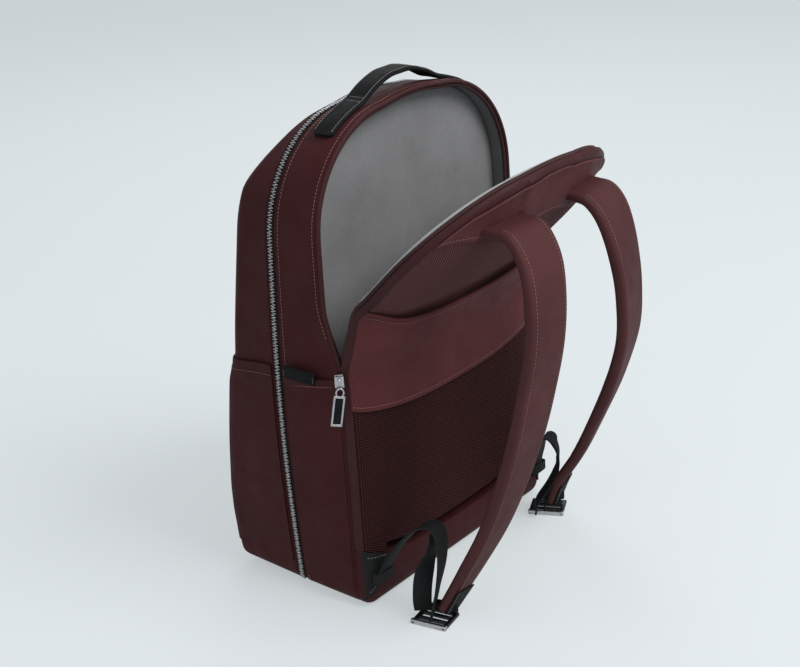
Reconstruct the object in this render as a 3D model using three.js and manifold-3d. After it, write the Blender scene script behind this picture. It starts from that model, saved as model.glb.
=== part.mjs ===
// Travel backpack with a zip-open padded back panel, built as separate sub-parts.
// Millimetres, +Z up. The wearer's side (back panel, straps) faces -Y, the front of the bag +Y.
// The origin lies on the flat underside, on the centre line, SEAM_Y in front of the back seam.
import * as THREE from 'three';
import { mergeVertices } from 'three/addons/utils/BufferGeometryUtils.js';
import Module from 'manifold-3d';

const wasm = await Module();
wasm.setup();

// ---- driving dimensions --------------------------------------------------------------------
const SEAM_Y = 60;           // distance from the back seam to the origin
const BACK = { halfWidth: 145, top: 472, cornerR: 104, crown: 4, foot: 14, bulge: 0 };
const ZIP = { halfWidth: 146, top: 463, cornerR: 104, crown: 4, foot: 18, bulge: 7 };
const ZIP_DEPTH = 70;        // depth of the main zip behind the front, measured from the back seam
const FRONT_DEPTH = 163;     // deepest point of the front pocket
const WALL = 3.5;            // fabric, foam and lining of a wall together
const GAP = 0.4;             // clearance between pieces that touch
const HINGE = { depth: 139, z: 24 };   // centre of the rounded front bottom edge
const PAD = 16;              // thickness of the back padding
const SPLIT_Z = 236;         // where the laptop zip ends and the fixed back panel begins
const OPEN_A = THREE.MathUtils.degToRad(20);  // rest opening of the flap's first fold
const OPEN_B = THREE.MathUtils.degToRad(25);  // and of its second
const FOLD_A = { depth: -2, z: 245 };  // first fold line of the flap
const FOLD_B = { depth: -2, z: 305 };  // second fold line, before the flap is opened
const WEDGE = Math.tan(THREE.MathUtils.degToRad(11)); // slope of the pad ends at a fold
const DIVIDER_DEPTH = 31;    // laptop compartment depth
const STRAP_T = 10;          // shoulder strap thickness
const HANDLE_W = 24;         // carry handle width
const WEB_W = 20;            // webbing width
const POCKET_Z = 232;        // height of the side and front pocket hems
const SHELL_BACK = ZIP_DEPTH + 6;      // rear edge of the front shell

// ---- materials -----------------------------------------------------------------------------
const material = (color, roughness, metalness = 0) =>
  new THREE.MeshStandardMaterial({ color, roughness, metalness, side: THREE.DoubleSide });
const fabric = material(0x553739, 0.75);
const meshFabric = material(0x47302f, 0.95);
const lining = material(0x6f6e6f, 0.85);
const leather = material(0x33373a, 0.6);
const webbing = material(0x2c2f31, 0.9);
const teeth = material(0x8b8b8c, 0.35, 0.9);
const steel = material(0x9a9c9e, 0.3, 1.0);

// ---- geometry helpers ----------------------------------------------------------------------
const v3 = (x, depth, z) => new THREE.Vector3(x, depth - SEAM_Y, z);

function flipIfInsideOut(geometry) {
  const p = geometry.attributes.position;
  const index = geometry.index.array;
  const corner = (i) => new THREE.Vector3().fromBufferAttribute(p, index[i]);
  let volume = 0;
  for (let i = 0; i < index.length; i += 3) {
    volume += corner(i).dot(corner(i + 1).cross(corner(i + 2)));
  }
  if (volume < 0) {
    for (let i = 0; i < index.length; i += 3) {
      [index[i], index[i + 1]] = [index[i + 1], index[i]];
    }
  }
  return geometry;
}

function capFaces(ring, offset) {
  const normal = new THREE.Vector3();
  ring.forEach((a, i) => {
    const b = ring[(i + 1) % ring.length];
    normal.x += (a.y - b.y) * (a.z + b.z);
    normal.y += (a.z - b.z) * (a.x + b.x);
    normal.z += (a.x - b.x) * (a.y + b.y);
  });
  normal.normalize();
  const turn = new THREE.Quaternion().setFromUnitVectors(normal, new THREE.Vector3(0, 0, 1));
  const flat = ring.map((p) => {
    const q = p.clone().applyQuaternion(turn);
    return new THREE.Vector2(q.x, q.y);
  });
  return THREE.ShapeUtils.triangulateShape(flat, []).map((t) => t.map((i) => i + offset));
}

// A closed surface through equal rings of points; open runs get an end cap at each end.
function skin(rings, closed = false) {
  const m = rings[0].length;
  const points = rings.flat();
  const faces = [];
  const spans = closed ? rings.length : rings.length - 1;
  for (let r = 0; r < spans; r += 1) {
    const s = (r + 1) % rings.length;
    for (let i = 0; i < m; i += 1) {
      const j = (i + 1) % m;
      faces.push([r * m + i, r * m + j, s * m + j], [r * m + i, s * m + j, s * m + i]);
    }
  }
  if (!closed) {
    faces.push(...capFaces(rings[0], 0).map(([a, b, c]) => [a, c, b]));
    faces.push(...capFaces(rings[rings.length - 1], (rings.length - 1) * m));
  }
  const geometry = new THREE.BufferGeometry();
  geometry.setAttribute('position', new THREE.Float32BufferAttribute(
    points.flatMap((p) => [p.x, p.y, p.z]), 3));
  geometry.setIndex(faces.flat());
  return flipIfInsideOut(geometry);
}

function toSolid(geometry) {
  const bare = geometry.clone();
  bare.deleteAttribute('normal');
  bare.deleteAttribute('uv');
  const merged = mergeVertices(bare, 1e-4);
  return new wasm.Manifold(new wasm.Mesh({
    numProp: 3,
    vertProperties: new Float32Array(merged.attributes.position.array),
    triVerts: new Uint32Array(merged.index.array),
  }));
}

function fromSolid(solid) {
  const mesh = solid.getMesh();
  const geometry = new THREE.BufferGeometry();
  geometry.setAttribute('position', new THREE.Float32BufferAttribute(mesh.vertProperties, 3));
  geometry.setIndex(Array.from(mesh.triVerts));
  return geometry;
}

const cut = (a, ...tools) => fromSolid(tools.reduce((s, t) => s.subtract(toSolid(t)), toSolid(a)));
const common = (a, ...more) => fromSolid(more.reduce((s, t) => s.intersect(toSolid(t)), toSolid(a)));
const join = (a, ...more) => fromSolid(more.reduce((s, t) => s.add(toSolid(t)), toSolid(a)));

const polygon = (points) => new THREE.Shape(points.map(([a, b]) => new THREE.Vector2(a, b)));

// Outline in (x, z), pulled along the depth from one plane to another.
function prismY(points, depth0, depth1) {
  const depth = depth1 - depth0;
  const g = new THREE.ExtrudeGeometry(polygon(points), { depth, bevelEnabled: false });
  return g.rotateX(Math.PI / 2).translate(0, depth1 - SEAM_Y, 0);
}

// Outline in (depth, z), pulled along x.
function prismX(points, x0, x1) {
  const g = new THREE.ExtrudeGeometry(polygon(points), { depth: x1 - x0, bevelEnabled: false });
  const turn = new THREE.Matrix4().makeBasis(
    new THREE.Vector3(0, 1, 0), new THREE.Vector3(0, 0, 1), new THREE.Vector3(1, 0, 0));
  return g.applyMatrix4(turn).translate(x0, -SEAM_Y, 0);
}

// Outline in (x, depth), pulled up along z.
function prismZ(points, z0, z1) {
  const g = new THREE.ExtrudeGeometry(polygon(points), { depth: z1 - z0, bevelEnabled: false });
  return g.translate(0, -SEAM_Y, z0);
}

function box(x0, x1, depth0, depth1, z0, z1) {
  const g = new THREE.BoxGeometry(x1 - x0, depth1 - depth0, z1 - z0);
  return g.translate((x0 + x1) / 2, (depth0 + depth1) / 2 - SEAM_Y, (z0 + z1) / 2);
}

// ---- the arch outline that every panel shares ------------------------------------------------
const SIDE_STEPS = 6;
const CORNER_STEPS = 9;
const CROWN_STEPS = 4;
const FOOT_STEPS = 3;

// Right half from the middle of the bottom edge to the middle of the top, as [x, z].
function halfArch({ halfWidth, top, cornerR, crown, foot, bulge }, inset = 0) {
  const w = halfWidth - inset;
  const r = cornerR - inset;
  const f = Math.max(foot - inset, 3);
  const shoulder = top - crown - cornerR;
  const points = [[0, inset]];
  for (let i = 0; i <= FOOT_STEPS; i += 1) {
    const a = (Math.PI / 2) * (i / FOOT_STEPS);
    points.push([w - f + f * Math.sin(a), inset + f - f * Math.cos(a)]);
  }
  for (let i = 1; i <= SIDE_STEPS; i += 1) {
    const t = i / SIDE_STEPS;
    points.push([w + bulge * Math.sin(Math.PI * t), inset + f + (shoulder - inset - f) * t]);
  }
  for (let i = 1; i <= CORNER_STEPS; i += 1) {
    const a = (Math.PI / 2) * (i / CORNER_STEPS);
    points.push([w - r + r * Math.cos(a), shoulder + r * Math.sin(a)]);
  }
  for (let i = 1; i <= CROWN_STEPS; i += 1) {
    const t = i / CROWN_STEPS;
    points.push([(w - r) * (1 - t), top - inset - crown * (1 - t) ** 2]);
  }
  return points;
}

function archLoop(shape, inset = 0) {
  const right = halfArch(shape, inset);
  const left = right.slice(1, -1).reverse().map(([x, z]) => [-x, z]);
  return [...right, ...left];
}

// The outline at any depth between the back seam and the zip.
function shapeAt(depth) {
  const t = THREE.MathUtils.clamp(depth / ZIP_DEPTH, 0, 1);
  return Object.fromEntries(Object.keys(BACK).map(
    (key) => [key, THREE.MathUtils.lerp(BACK[key], ZIP[key], t)]));
}

// The zip runs in one plane down to the hinge height, then round the hinge centre.
function zipDepth(z) {
  if (z >= HINGE.z) return ZIP_DEPTH;
  return HINGE.depth - Math.sqrt((HINGE.depth - ZIP_DEPTH) ** 2 - (HINGE.z - z) ** 2);
}

// Above the laptop zip's end the free edge of the wall stands a little inside the back seam.
function openingDepth(z) {
  const t = THREE.MathUtils.smoothstep(z, SPLIT_Z, SPLIT_Z + 70);
  return 15 * t;
}

// Strip that follows the arch: each station is a four-cornered section between two depths.
function archStrip(depthBack, depthFront, outer, thick, zMin = -1, shape = null) {
  const stations = [];
  const base = archLoop(BACK).length;
  for (let i = 0; i < base; i += 1) {
    const z = archLoop(shapeAt(0))[i][1];
    const d0 = depthBack(z);
    const d1 = depthFront(z);
    const at = (d, inset) => archLoop(shape || shapeAt(d), inset)[i];
    const [a, b, c, e] = [at(d0, outer), at(d1, outer), at(d1, outer + thick), at(d0, outer + thick)];
    stations.push([v3(a[0], d0, a[1]), v3(b[0], d1, b[1]), v3(c[0], d1, c[1]), v3(e[0], d0, e[1])]);
  }
  if (zMin < 0) return skin(stations, true);
  const middle = (base / 2) | 0;
  const kept = stations.filter((s) => s[0].z >= zMin);
  const above = kept.sort((p, q) => order(p, middle) - order(q, middle));
  return skin(above);
}

// Position of a station along the arch, from the right foot over the top to the left foot.
function order(section) {
  const p = section[0];
  return Math.atan2(p.z - 230, p.x) < -Math.PI / 2
    ? Math.atan2(p.z - 230, p.x) + 2 * Math.PI
    : Math.atan2(p.z - 230, p.x);
}

// A strap of oval section along a curve; flat gives the direction of its width at each point.
function strap(path, flats, widths, thicknesses, steps) {
  const curve = new THREE.CatmullRomCurve3(path.map((p) => v3(...p)), false, 'centripetal');
  const pick = (list, t) => {
    const s = t * (list.length - 1);
    const i = Math.min(Math.floor(s), list.length - 2);
    return [list[i], list[i + 1], s - i];
  };
  const rings = [];
  for (let k = 0; k <= steps; k += 1) {
    const t = k / steps;
    const centre = curve.getPoint(t);
    const along = curve.getTangent(t);
    const [f0, f1, ft] = pick(flats, t);
    const across = new THREE.Vector3(...f0).lerp(new THREE.Vector3(...f1), ft);
    across.addScaledVector(along, -across.dot(along)).normalize();
    const out = new THREE.Vector3().crossVectors(along, across);
    const [w0, w1, wt] = pick(widths, t);
    const [t0, t1, tt] = pick(thicknesses, t);
    const w = THREE.MathUtils.lerp(w0, w1, wt) / 2;
    const h = THREE.MathUtils.lerp(t0, t1, tt) / 2;
    const e = Math.min(h, w) * 0.8;
    const section = [[-w, 0], [-w + e, -h], [w - e, -h], [w, 0], [w - e, h], [-w + e, h]];
    rings.push(section.map(([a, b]) => centre.clone().addScaledVector(across, a).addScaledVector(out, b)));
  }
  return skin(rings);
}

// ---- assembly ------------------------------------------------------------------------------
const pack = new THREE.Group();
const foldA = new THREE.Group();
const foldB = new THREE.Group();
const axisA = v3(0, FOLD_A.depth, FOLD_A.z);
const axisB = v3(0, FOLD_B.depth, FOLD_B.z);
foldA.position.copy(axisA);
foldA.rotation.x = OPEN_A;
foldB.position.copy(axisB).sub(axisA);
foldB.rotation.x = OPEN_B;
pack.add(foldA);
foldA.add(foldB);

// Adds a named piece; pieces of the flap are drawn closed and hang in the opened groups.
function piece(name, geometry, mat, group = pack) {
  const origin = { [foldA.uuid]: axisA, [foldB.uuid]: axisB }[group.uuid] || new THREE.Vector3();
  const mesh = new THREE.Mesh(geometry.translate(-origin.x, -origin.y, -origin.z), mat);
  mesh.name = name;
  group.add(mesh);
}

const sides = [['right', -1], ['left', 1]];   // the wearer's right side is at -X

// -- pack body: the hollow wall between the back panel and the main zip
const wallBack = (z) => (z > SPLIT_Z ? openingDepth(z) : 0);
piece('gusset_wall', archStrip(wallBack, (z) => zipDepth(z) - 6, 0, WALL), fabric);

const dividerLoop = archLoop(shapeAt(DIVIDER_DEPTH), WALL + 1.2);
piece('laptop_divider', prismY(dividerLoop, DIVIDER_DEPTH, DIVIDER_DEPTH + 5), lining);
piece('laptop_floor_pad', box(-132, 132, 4, DIVIDER_DEPTH - GAP, 14, 20), lining);

const between = (z0, z1) => box(-200, 200, -60, 60, z0, z1);
const below = (zTop) => between(-20, zTop);
const frameLoop = archLoop(BACK, WALL + 1);
piece('back_frame_sheet', common(prismY(frameLoop, 0.6, 2.6), between(5, SPLIT_Z - 4)), lining);

// -- back padding, crowned on the wearer's side; one outline cut into fixed and hinged lengths
function crownedPad(inset) {
  const layers = [[-GAP, 0], [-7, 0.5], [-12, 4], [-15, 10], [-PAD, 18]];
  return skin(layers.map(([depth, pull]) =>
    archLoop(BACK, inset + pull).map(([x, z]) => v3(x, depth, z))));
}
const reach = 40;
// Side view of a cut at a fold: flat near the axis, sloping away behind it.
function foldCut(fold, up) {
  const edge = fold.z + up * GAP;
  return [[30, edge], [fold.depth, edge], [fold.depth - reach, edge + up * reach * WEDGE]];
}
const fixedSector = prismX([[30, -20], ...foldCut(FOLD_A, -1), [-42, -20]], -200, 200);
const lowerSector = prismX([...foldCut(FOLD_A, 1), ...foldCut(FOLD_B, -1).reverse()], -200, 200);
const upperSector = prismX([...foldCut(FOLD_B, 1), [-42, 520], [30, 520]], -200, 200);

const pad = crownedPad(0.5);
const BAND_Z = 44;
piece('back_base_band', common(pad, below(BAND_Z)), fabric);
const padAboveBand = cut(pad, below(BAND_Z + GAP));
piece('back_pad_lower', common(padAboveBand, fixedSector), meshFabric);
piece('flap_pad_lower', common(pad, lowerSector), meshFabric, foldA);
piece('flap_pad_upper', common(pad, upperSector), meshFabric, foldB);

// -- trolley sleeve: a band held off the padding, open above and below
const SLEEVE = { x: 132, inner: -21.5, outer: -23.5, z0: 194, z1: 302 };
const sleeveSection = [
  [-SLEEVE.x, -PAD - GAP], [-SLEEVE.x, SLEEVE.outer], [SLEEVE.x, SLEEVE.outer], [SLEEVE.x, -PAD - GAP],
  [SLEEVE.x - 3, -PAD - GAP], [SLEEVE.x - 3, SLEEVE.inner], [3 - SLEEVE.x, SLEEVE.inner],
  [3 - SLEEVE.x, -PAD - GAP],
];
const sleeve = prismZ(sleeveSection, SLEEVE.z0, SLEEVE.z1);
piece('trolley_sleeve_lower', common(sleeve, fixedSector), fabric);
piece('trolley_sleeve_upper', common(sleeve, lowerSector), fabric, foldA);

// -- flap: yoke, inner lining and the flap's half of the laptop zip
const yokeLoop = archLoop(BACK, 20);
const yoke = common(prismY(yokeLoop, -PAD - 2.4, -PAD - GAP), box(-200, 200, -60, 0, 436, 500));
piece('flap_yoke', yoke, fabric, foldB);
const liningSlab = prismY(archLoop(BACK, 12), 0.2, 4.2);
piece('flap_lining_lower', common(liningSlab, lowerSector), lining, foldA);
piece('flap_lining_upper', common(liningSlab, upperSector), lining, foldB);
const flapTape = archStrip(() => 0.2, () => 9, 4, 2, -1, BACK);
for (const [side, s] of sides) {
  const half = box(Math.min(0, s * 200), Math.max(0, s * 200), -60, 60, 0, 500);
  piece(`flap_zip_tape_${side}`, common(flapTape, lowerSector, half), fabric, foldA);
}
piece('flap_zip_tape_upper', common(flapTape, upperSector), fabric, foldB);

// -- the body's half of the laptop zip, and the welt round the opening
const openTape = archStrip((z) => openingDepth(z) - 3.4, (z) => openingDepth(z) - GAP, 0.4, 3);
piece('opening_zip_tape', common(openTape, between(SPLIT_Z + 22, 500)), fabric);

// -- main zip: two tapes with teeth, one on the wall and one on the front shell
const TOOTH_GAP = 0.35;      // half the clearance between the two rows of teeth
const rearTape = archStrip((z) => zipDepth(z) - 6 + GAP, (z) => zipDepth(z) - TOOTH_GAP, 0.4, 2.2, 5);
const frontEdge = (z) => Math.min(zipDepth(z) + 6, SHELL_BACK) - GAP;
const frontTape = archStrip((z) => zipDepth(z) + TOOTH_GAP, frontEdge, 0.4, 2.2, 5, ZIP);
piece('main_zip_tape_rear', rearTape, teeth);
piece('main_zip_tape_front', frontTape, teeth);

// -- front shell: a tray with a sloping shoulder, hinged on its rounded bottom edge
function arcPoints(cy, cz, r, a0, a1, steps) {
  return Array.from({ length: steps + 1 }, (_, i) => {
    const a = THREE.MathUtils.degToRad(a0 + (a1 - a0) * (i / steps));
    return [cy + r * Math.cos(a), cz + r * Math.sin(a)];
  });
}
const FLOOR_GAP = 0.5;
const POCKET_LIFT = 12;      // how far the pocket panel's face stands off the shell
const BEND = { depth: 116, z: 398 };        // crease between the front panel and the shoulder
function shellProfile(inset) {
  const r = FRONT_DEPTH - HINGE.depth - inset;
  const back = inset > 0 ? SHELL_BACK - 10 : SHELL_BACK;
  return [
    [back, FLOOR_GAP + inset],
    ...arcPoints(HINGE.depth, HINGE.z, r - FLOOR_GAP, -90, 0, 6),
    [FRONT_DEPTH - inset - POCKET_LIFT, 34], [FRONT_DEPTH - inset - POCKET_LIFT, 87],
    [137 - inset, 206], [133 - inset, POCKET_Z], [131 - inset, 287],
    [BEND.depth - inset, BEND.z - inset * 0.5], [back, 458 - inset * 1.5 + (SHELL_BACK - back)],
  ];
}
const shellBlock = prismY(archLoop(ZIP), SHELL_BACK, FRONT_DEPTH);
const shellBody = common(shellBlock, prismX(shellProfile(0), -170, 170));
const shellRoom = common(
  prismY(archLoop(ZIP, WALL), SHELL_BACK - 10, FRONT_DEPTH), prismX(shellProfile(WALL), -170, 170));
piece('front_shell', cut(shellBody, shellRoom), fabric);

// -- front slip pocket: a panel standing off the shell, closed at its sides and bottom
const POCKET_FACE = 2.2;
const pocketOuter = [[FRONT_DEPTH, 36], [FRONT_DEPTH, 87], [149, 206], [145, POCKET_Z]];
const shifted = (points, by) => points.map(([d, z]) => [d - by, z]).reverse();
const pocketSolid = prismX([...pocketOuter, ...shifted(pocketOuter, POCKET_LIFT - GAP)], -136, 136);
const roomBack = 125;
const pocketRoom = prismX([
  [roomBack, 39],
  ...shifted(pocketOuter, POCKET_FACE).reverse().map(([d, z]) => [d, Math.max(z, 39)]),
  [145 - POCKET_FACE, POCKET_Z + 8], [roomBack, POCKET_Z + 8],
], -133, 133);
piece('front_pocket_panel', cut(pocketSolid, pocketRoom), fabric);

// -- side slip pockets on the wall, each with a blank loop tag
for (const [side, s] of sides) {
  const rows = [[6, 20], [14, 60], [18, 120], [18, 180], [14, POCKET_Z]];
  const rings = rows.map(([lift, z]) => {
    const at = (depth) => {
      const shape = shapeAt(depth);
      const straight = shape.top - shape.crown - shape.cornerR - shape.foot;
      const t = THREE.MathUtils.clamp((z - shape.foot) / straight, 0, 1);
      return shape.halfWidth + shape.bulge * Math.sin(Math.PI * t);
    };
    const depths = [4, 34, ZIP_DEPTH - 8];
    const offsets = [GAP, GAP + lift * 0.12, GAP];
    const face = (extra) => depths.map((d, i) => v3(s * (at(d) + offsets[i] + extra), d, z));
    return [...face(0), ...face(1.8).reverse()];
  });
  piece(`side_pocket_${side}`, skin(rings), fabric);
}
piece('side_tag', box(-157.6, -156, 20, 59, POCKET_Z - 4, POCKET_Z + 8), leather);

// -- carry handle: a flat leather strap arched over the crown, with a sewn patch under each end
const HANDLE_DEPTH = 38;
function overCrown(x, lift) {
  const { halfWidth, top, cornerR, crown } = shapeAt(HANDLE_DEPTH);
  const flatHalf = halfWidth - cornerR;
  const shoulder = top - crown - cornerR;
  const beyond = Math.max(Math.abs(x) - flatHalf, 0);
  const rise = Math.sqrt(cornerR ** 2 - beyond ** 2);
  const dome = beyond > 0 ? 0 : crown * (1 - (Math.abs(x) / flatHalf) ** 2);
  const z = shoulder + rise + dome + (lift * rise) / cornerR;
  return [x + (Math.sign(x) * lift * beyond) / cornerR, HANDLE_DEPTH, z];
}
const handleHalf = [
  [10, HANDLE_DEPTH, 481], [30, HANDLE_DEPTH, 475.5],
  overCrown(53, 6.6), overCrown(76, 5.6), overCrown(97, 5.6),
];
const handlePath = [...handleHalf.map(([x, d, z]) => [-x, d, z]).reverse(), ...handleHalf];
const alongDepth = [[0, 1, 0], [0, 1, 0]];
piece('carry_handle', strap(handlePath, alongDepth, [HANDLE_W, HANDLE_W], [4, 5, 5, 4], 22), leather);
const patchBand = archStrip(() => HANDLE_DEPTH - 14, () => HANDLE_DEPTH + 14, -1.9, 1.5);
for (const [side, s] of sides) {
  const [x0, x1] = s > 0 ? [70, 108] : [-108, -70];
  piece(`handle_patch_${side}`, common(patchBand, box(x0, x1, 0, 80, 400, 500)), leather);
}

// -- shoulder straps: sewn at the yoke, standing away from the back, twisting at the lower end
const strapPaths = {
  right: [[-59, -131, 377], [-61, -150, 374], [-66, -167, 351], [-71, -174, 318], [-75, -174, 281],
    [-81, -166, 239], [-87, -153, 196], [-93, -135, 148], [-101, -115, 100], [-108, -98, 55],
    [-113, -86, 14]],
  left: [[59, -131, 377], [61, -146, 374], [64, -158, 356], [68, -166, 322], [74, -165, 281],
    [83, -156, 232], [92, -133, 178], [101, -109, 126], [109, -85, 78], [115, -64, 42], [118, -50, 14]],
};
const strapFlats = {
  right: [[1, 0, 0], [1, 0, 0]],
  left: [[1, 0, 0], [0.98, 0.15, 0], [0.95, 0.3, 0], [0.95, 0.3, 0], [0.95, 0.2, 0]],
};
const widths = [56, 54, 52, 50, 43, 26];
for (const [side] of sides) {
  piece(`shoulder_strap_${side}`,
    strap(strapPaths[side], strapFlats[side], widths, [9, STRAP_T, STRAP_T, 9, 8, 5], 26), fabric);
}

// -- leather patch on the outer face of each strap end
const PATCH_LIFT = 6.6;      // from the strap's middle layer to the patch's
for (const [side] of sides) {
  const [upper, lower] = strapPaths[side].slice(-2);
  const end = strapFlats[side].at(-1);
  const [fx, fy] = end;
  const lift = ([x, depth, z]) => [x + fy * PATCH_LIFT, depth - fx * PATCH_LIFT, z];
  const middle = upper.map((value, i) => (value + lower[i]) / 2);
  const flats = [end, end];
  piece(`strap_patch_${side}`, strap([lift(middle), lift(lower)], flats, [24, 20], [1.4, 1.4], 3), leather);
}

// -- ladder-lock buckles under the strap ends, lying flat
const BUCKLE = { length: 36, width: 30, thick: 3.4 };
const buckles = {
  right: { x: -123, depth: -75, turn: -80 },
  left: { x: 111.5, depth: -44, turn: -65 },
};
function buckle() {
  const { length: l, width: w, thick: t } = BUCKLE;
  const plate = new THREE.BoxGeometry(l, w, t);
  const slots = [-1, 0, 1].map((k) =>
    new THREE.BoxGeometry(l - 8, 4.6, t * 3).translate(0, k * 8.2, 0));
  return cut(plate, ...slots);
}
for (const [side] of sides) {
  const place = buckles[side];
  const g = buckle().rotateZ(THREE.MathUtils.degToRad(place.turn));
  piece(`buckle_${side}`, g.translate(place.x, place.depth - SEAM_Y, BUCKLE.thick / 2 + 0.3), steel);
}

// -- webbing: sewn tab at each lower corner, an arc up to its top, and the length down to the buckle
const webPaths = {
  right: {
    rise: [[-127, -24.5, 44], [-123, -38, 71], [-121, -56, 92], [-121, -66, 99]],
    fall: [[-122, -70, 100], [-130, -78, 92], [-134, -78, 62], [-134, -75, 34], [-133, -74, 13]],
  },
  left: {
    rise: [[127, -22, 44], [122, -28, 62], [118, -34, 78], [116, -38, 84]],
    fall: [[113, -41, 86], [104, -46, 80], [93, -47, 58], [92, -45, 34], [93, -44, 13]],
  },
};
function barDirection(side) {
  const a = THREE.MathUtils.degToRad(buckles[side].turn);
  return [Math.cos(a), Math.sin(a), 0];
}
for (const [side, s] of sides) {
  const w = webPaths[side];
  const flat = [[1, 0, 0], [1, 0, 0]];
  const turning = [[1, 0, 0], [0.6, -0.8, 0], barDirection(side), barDirection(side)];
  piece(`webbing_rise_${side}`, strap(w.rise, flat, [WEB_W, WEB_W], [3.2, 3.2], 8), webbing);
  piece(`webbing_fall_${side}`, strap(w.fall, turning, [WEB_W, WEB_W], [3.2, 3.2], 10), webbing);
  const tab = prismY([[s * 141, 58], [s * 141, 14], [s * 116, 52]], -PAD - 3.6, -PAD - 1.6);
  piece(`webbing_tab_${side}`, tab, webbing);
  const keeper = box(s * 129 - 11, s * 129 + 11, -PAD - 9, -PAD - 4, 31, 38);
  piece(`webbing_keeper_${side}`, keeper, webbing);
}

// -- zip sliders and their pulls
function slider(length) {
  const front = new THREE.BoxGeometry(8, 2, length).translate(0, -2.6, 0);
  const rear = new THREE.BoxGeometry(8, 2, length).translate(0, 2.6, 0);
  const neck = new THREE.BoxGeometry(2.6, 4, 2.6).translate(0, 0, length / 2 - 1.6);
  return join(front, rear, neck);
}
function pull(length) {
  const shape = polygon([[-4.5, 0], [4.5, 0], [4.5, -length], [-4.5, -length]]);
  shape.holes.push(new THREE.Path().absarc(0, -4.5, 2.6, 0, Math.PI * 2));
  const g = new THREE.ExtrudeGeometry(shape, { depth: 1.8, bevelEnabled: false, curveSegments: 6 });
  return g.rotateX(Math.PI / 2).translate(0, 0.9, 0);
}
const LAPTOP_SLIDER = { x: 149.5, depth: -6, z: 236 };
const PULL_OFF = 3.8;        // how far the pull hangs outside its slider, along x and along the depth
for (const [side, s] of sides) {
  const turn = (s * Math.PI) / 4;
  const { x, depth, z } = LAPTOP_SLIDER;
  const body = slider(11).rotateZ(turn).translate(s * x, depth - SEAM_Y, z);
  piece(`laptop_zip_slider_${side}`, body, steel);
  const tag = pull(37).rotateZ(turn).translate(s * (x + PULL_OFF), depth - PULL_OFF - SEAM_Y, z - 5);
  piece(`laptop_zip_pull_${side}`, tag, steel);
}
const MAIN_SLIDER_X = 158.6;
for (const [name, z] of [['upper', 150], ['lower', 106]]) {
  const body = slider(12).rotateZ(Math.PI / 2).translate(MAIN_SLIDER_X, ZIP_DEPTH - SEAM_Y, z);
  piece(`main_zip_slider_${name}`, body, steel);
  const tag = pull(30).rotateZ(Math.PI / 2);
  tag.translate(MAIN_SLIDER_X + 5, ZIP_DEPTH - SEAM_Y, z - 4);
  piece(`main_zip_pull_${name}`, tag, steel);
}

export default pack;
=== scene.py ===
"""Looks of the travel backpack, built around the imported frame. Metres, +Z up, the wearer's side at -Y."""
import math

import bmesh
import bpy
import numpy as np
from mathutils import Matrix, Vector, noise


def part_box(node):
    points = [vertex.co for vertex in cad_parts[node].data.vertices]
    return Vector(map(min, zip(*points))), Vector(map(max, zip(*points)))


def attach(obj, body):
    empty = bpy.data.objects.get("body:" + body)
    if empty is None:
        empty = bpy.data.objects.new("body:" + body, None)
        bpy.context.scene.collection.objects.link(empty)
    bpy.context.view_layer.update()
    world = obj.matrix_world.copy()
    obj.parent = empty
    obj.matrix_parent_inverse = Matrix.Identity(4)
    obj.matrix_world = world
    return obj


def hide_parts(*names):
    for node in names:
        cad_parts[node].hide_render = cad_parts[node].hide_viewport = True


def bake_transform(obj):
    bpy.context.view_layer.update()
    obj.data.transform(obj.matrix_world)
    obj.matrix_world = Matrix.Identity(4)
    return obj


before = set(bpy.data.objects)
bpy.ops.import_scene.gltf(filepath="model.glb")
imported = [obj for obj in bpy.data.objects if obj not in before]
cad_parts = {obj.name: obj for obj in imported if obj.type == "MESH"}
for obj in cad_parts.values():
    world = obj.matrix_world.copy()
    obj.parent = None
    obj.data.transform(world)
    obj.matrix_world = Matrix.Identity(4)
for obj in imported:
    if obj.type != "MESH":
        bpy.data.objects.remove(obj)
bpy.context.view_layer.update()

MM = 0.001

# ---- places that come from the frame ---------------------------------------------------------
SEAM_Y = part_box("gusset_wall")[0][1]        # the back seam; depths below are measured from it
SPLIT_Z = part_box("back_frame_sheet")[1][2] + 4 * MM    # where the laptop zip ends
ZIP_DEPTH = 70 * MM
SHELL_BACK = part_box("front_shell")[0][1] - SEAM_Y
FRONT_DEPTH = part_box("front_pocket_panel")[1][1] - SEAM_Y
POCKET_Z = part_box("front_pocket_panel")[1][2]
PAD = 16 * MM                               # thickness of the back padding
WALL = 3.5 * MM                             # fabric, foam and lining of a wall
HINGE = (139 * MM, 24 * MM)                 # centre of the rounded front bottom edge, depth and z
BACK = dict(half=145 * MM, top=472 * MM, corner=104 * MM, crown=4 * MM, foot=14 * MM, bulge=0.0)
ZIP = dict(half=146 * MM, top=463 * MM, corner=104 * MM, crown=4 * MM, foot=18 * MM, bulge=7 * MM)
OPEN_A, OPEN_B = math.radians(20), math.radians(25)    # rest opening of the flap's two folds
FOLD_A = (-2 * MM, 245 * MM)                # fold lines before the flap is opened, depth and z
FOLD_B = (-2 * MM, 305 * MM)
JOIN_Z = 275 * MM                           # where the lower and upper lengths of the back panel meet
sides = (("right", -1), ("left", 1))        # the wearer's right side is at -X


def ease(t):
    t = np.clip(t, 0.0, 1.0)
    return t * t * (3 - 2 * t)


def lerp(a, b, t):
    return a + (b - a) * t


# ---- camera, lights and floor ----------------------------------------------------------------
def point_at(obj, place, target, roll=0.0):
    forward = (Vector(target) - Vector(place)).normalized()
    right = forward.cross(Vector((0, 0, 1))).normalized()
    up = right.cross(forward)
    r = right * math.cos(roll) + up * math.sin(roll)
    u = -right * math.sin(roll) + up * math.cos(roll)
    turn = Matrix((r, u, -forward)).transposed()
    obj.matrix_world = Matrix.Translation(Vector(place)) @ turn.to_4x4()


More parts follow.
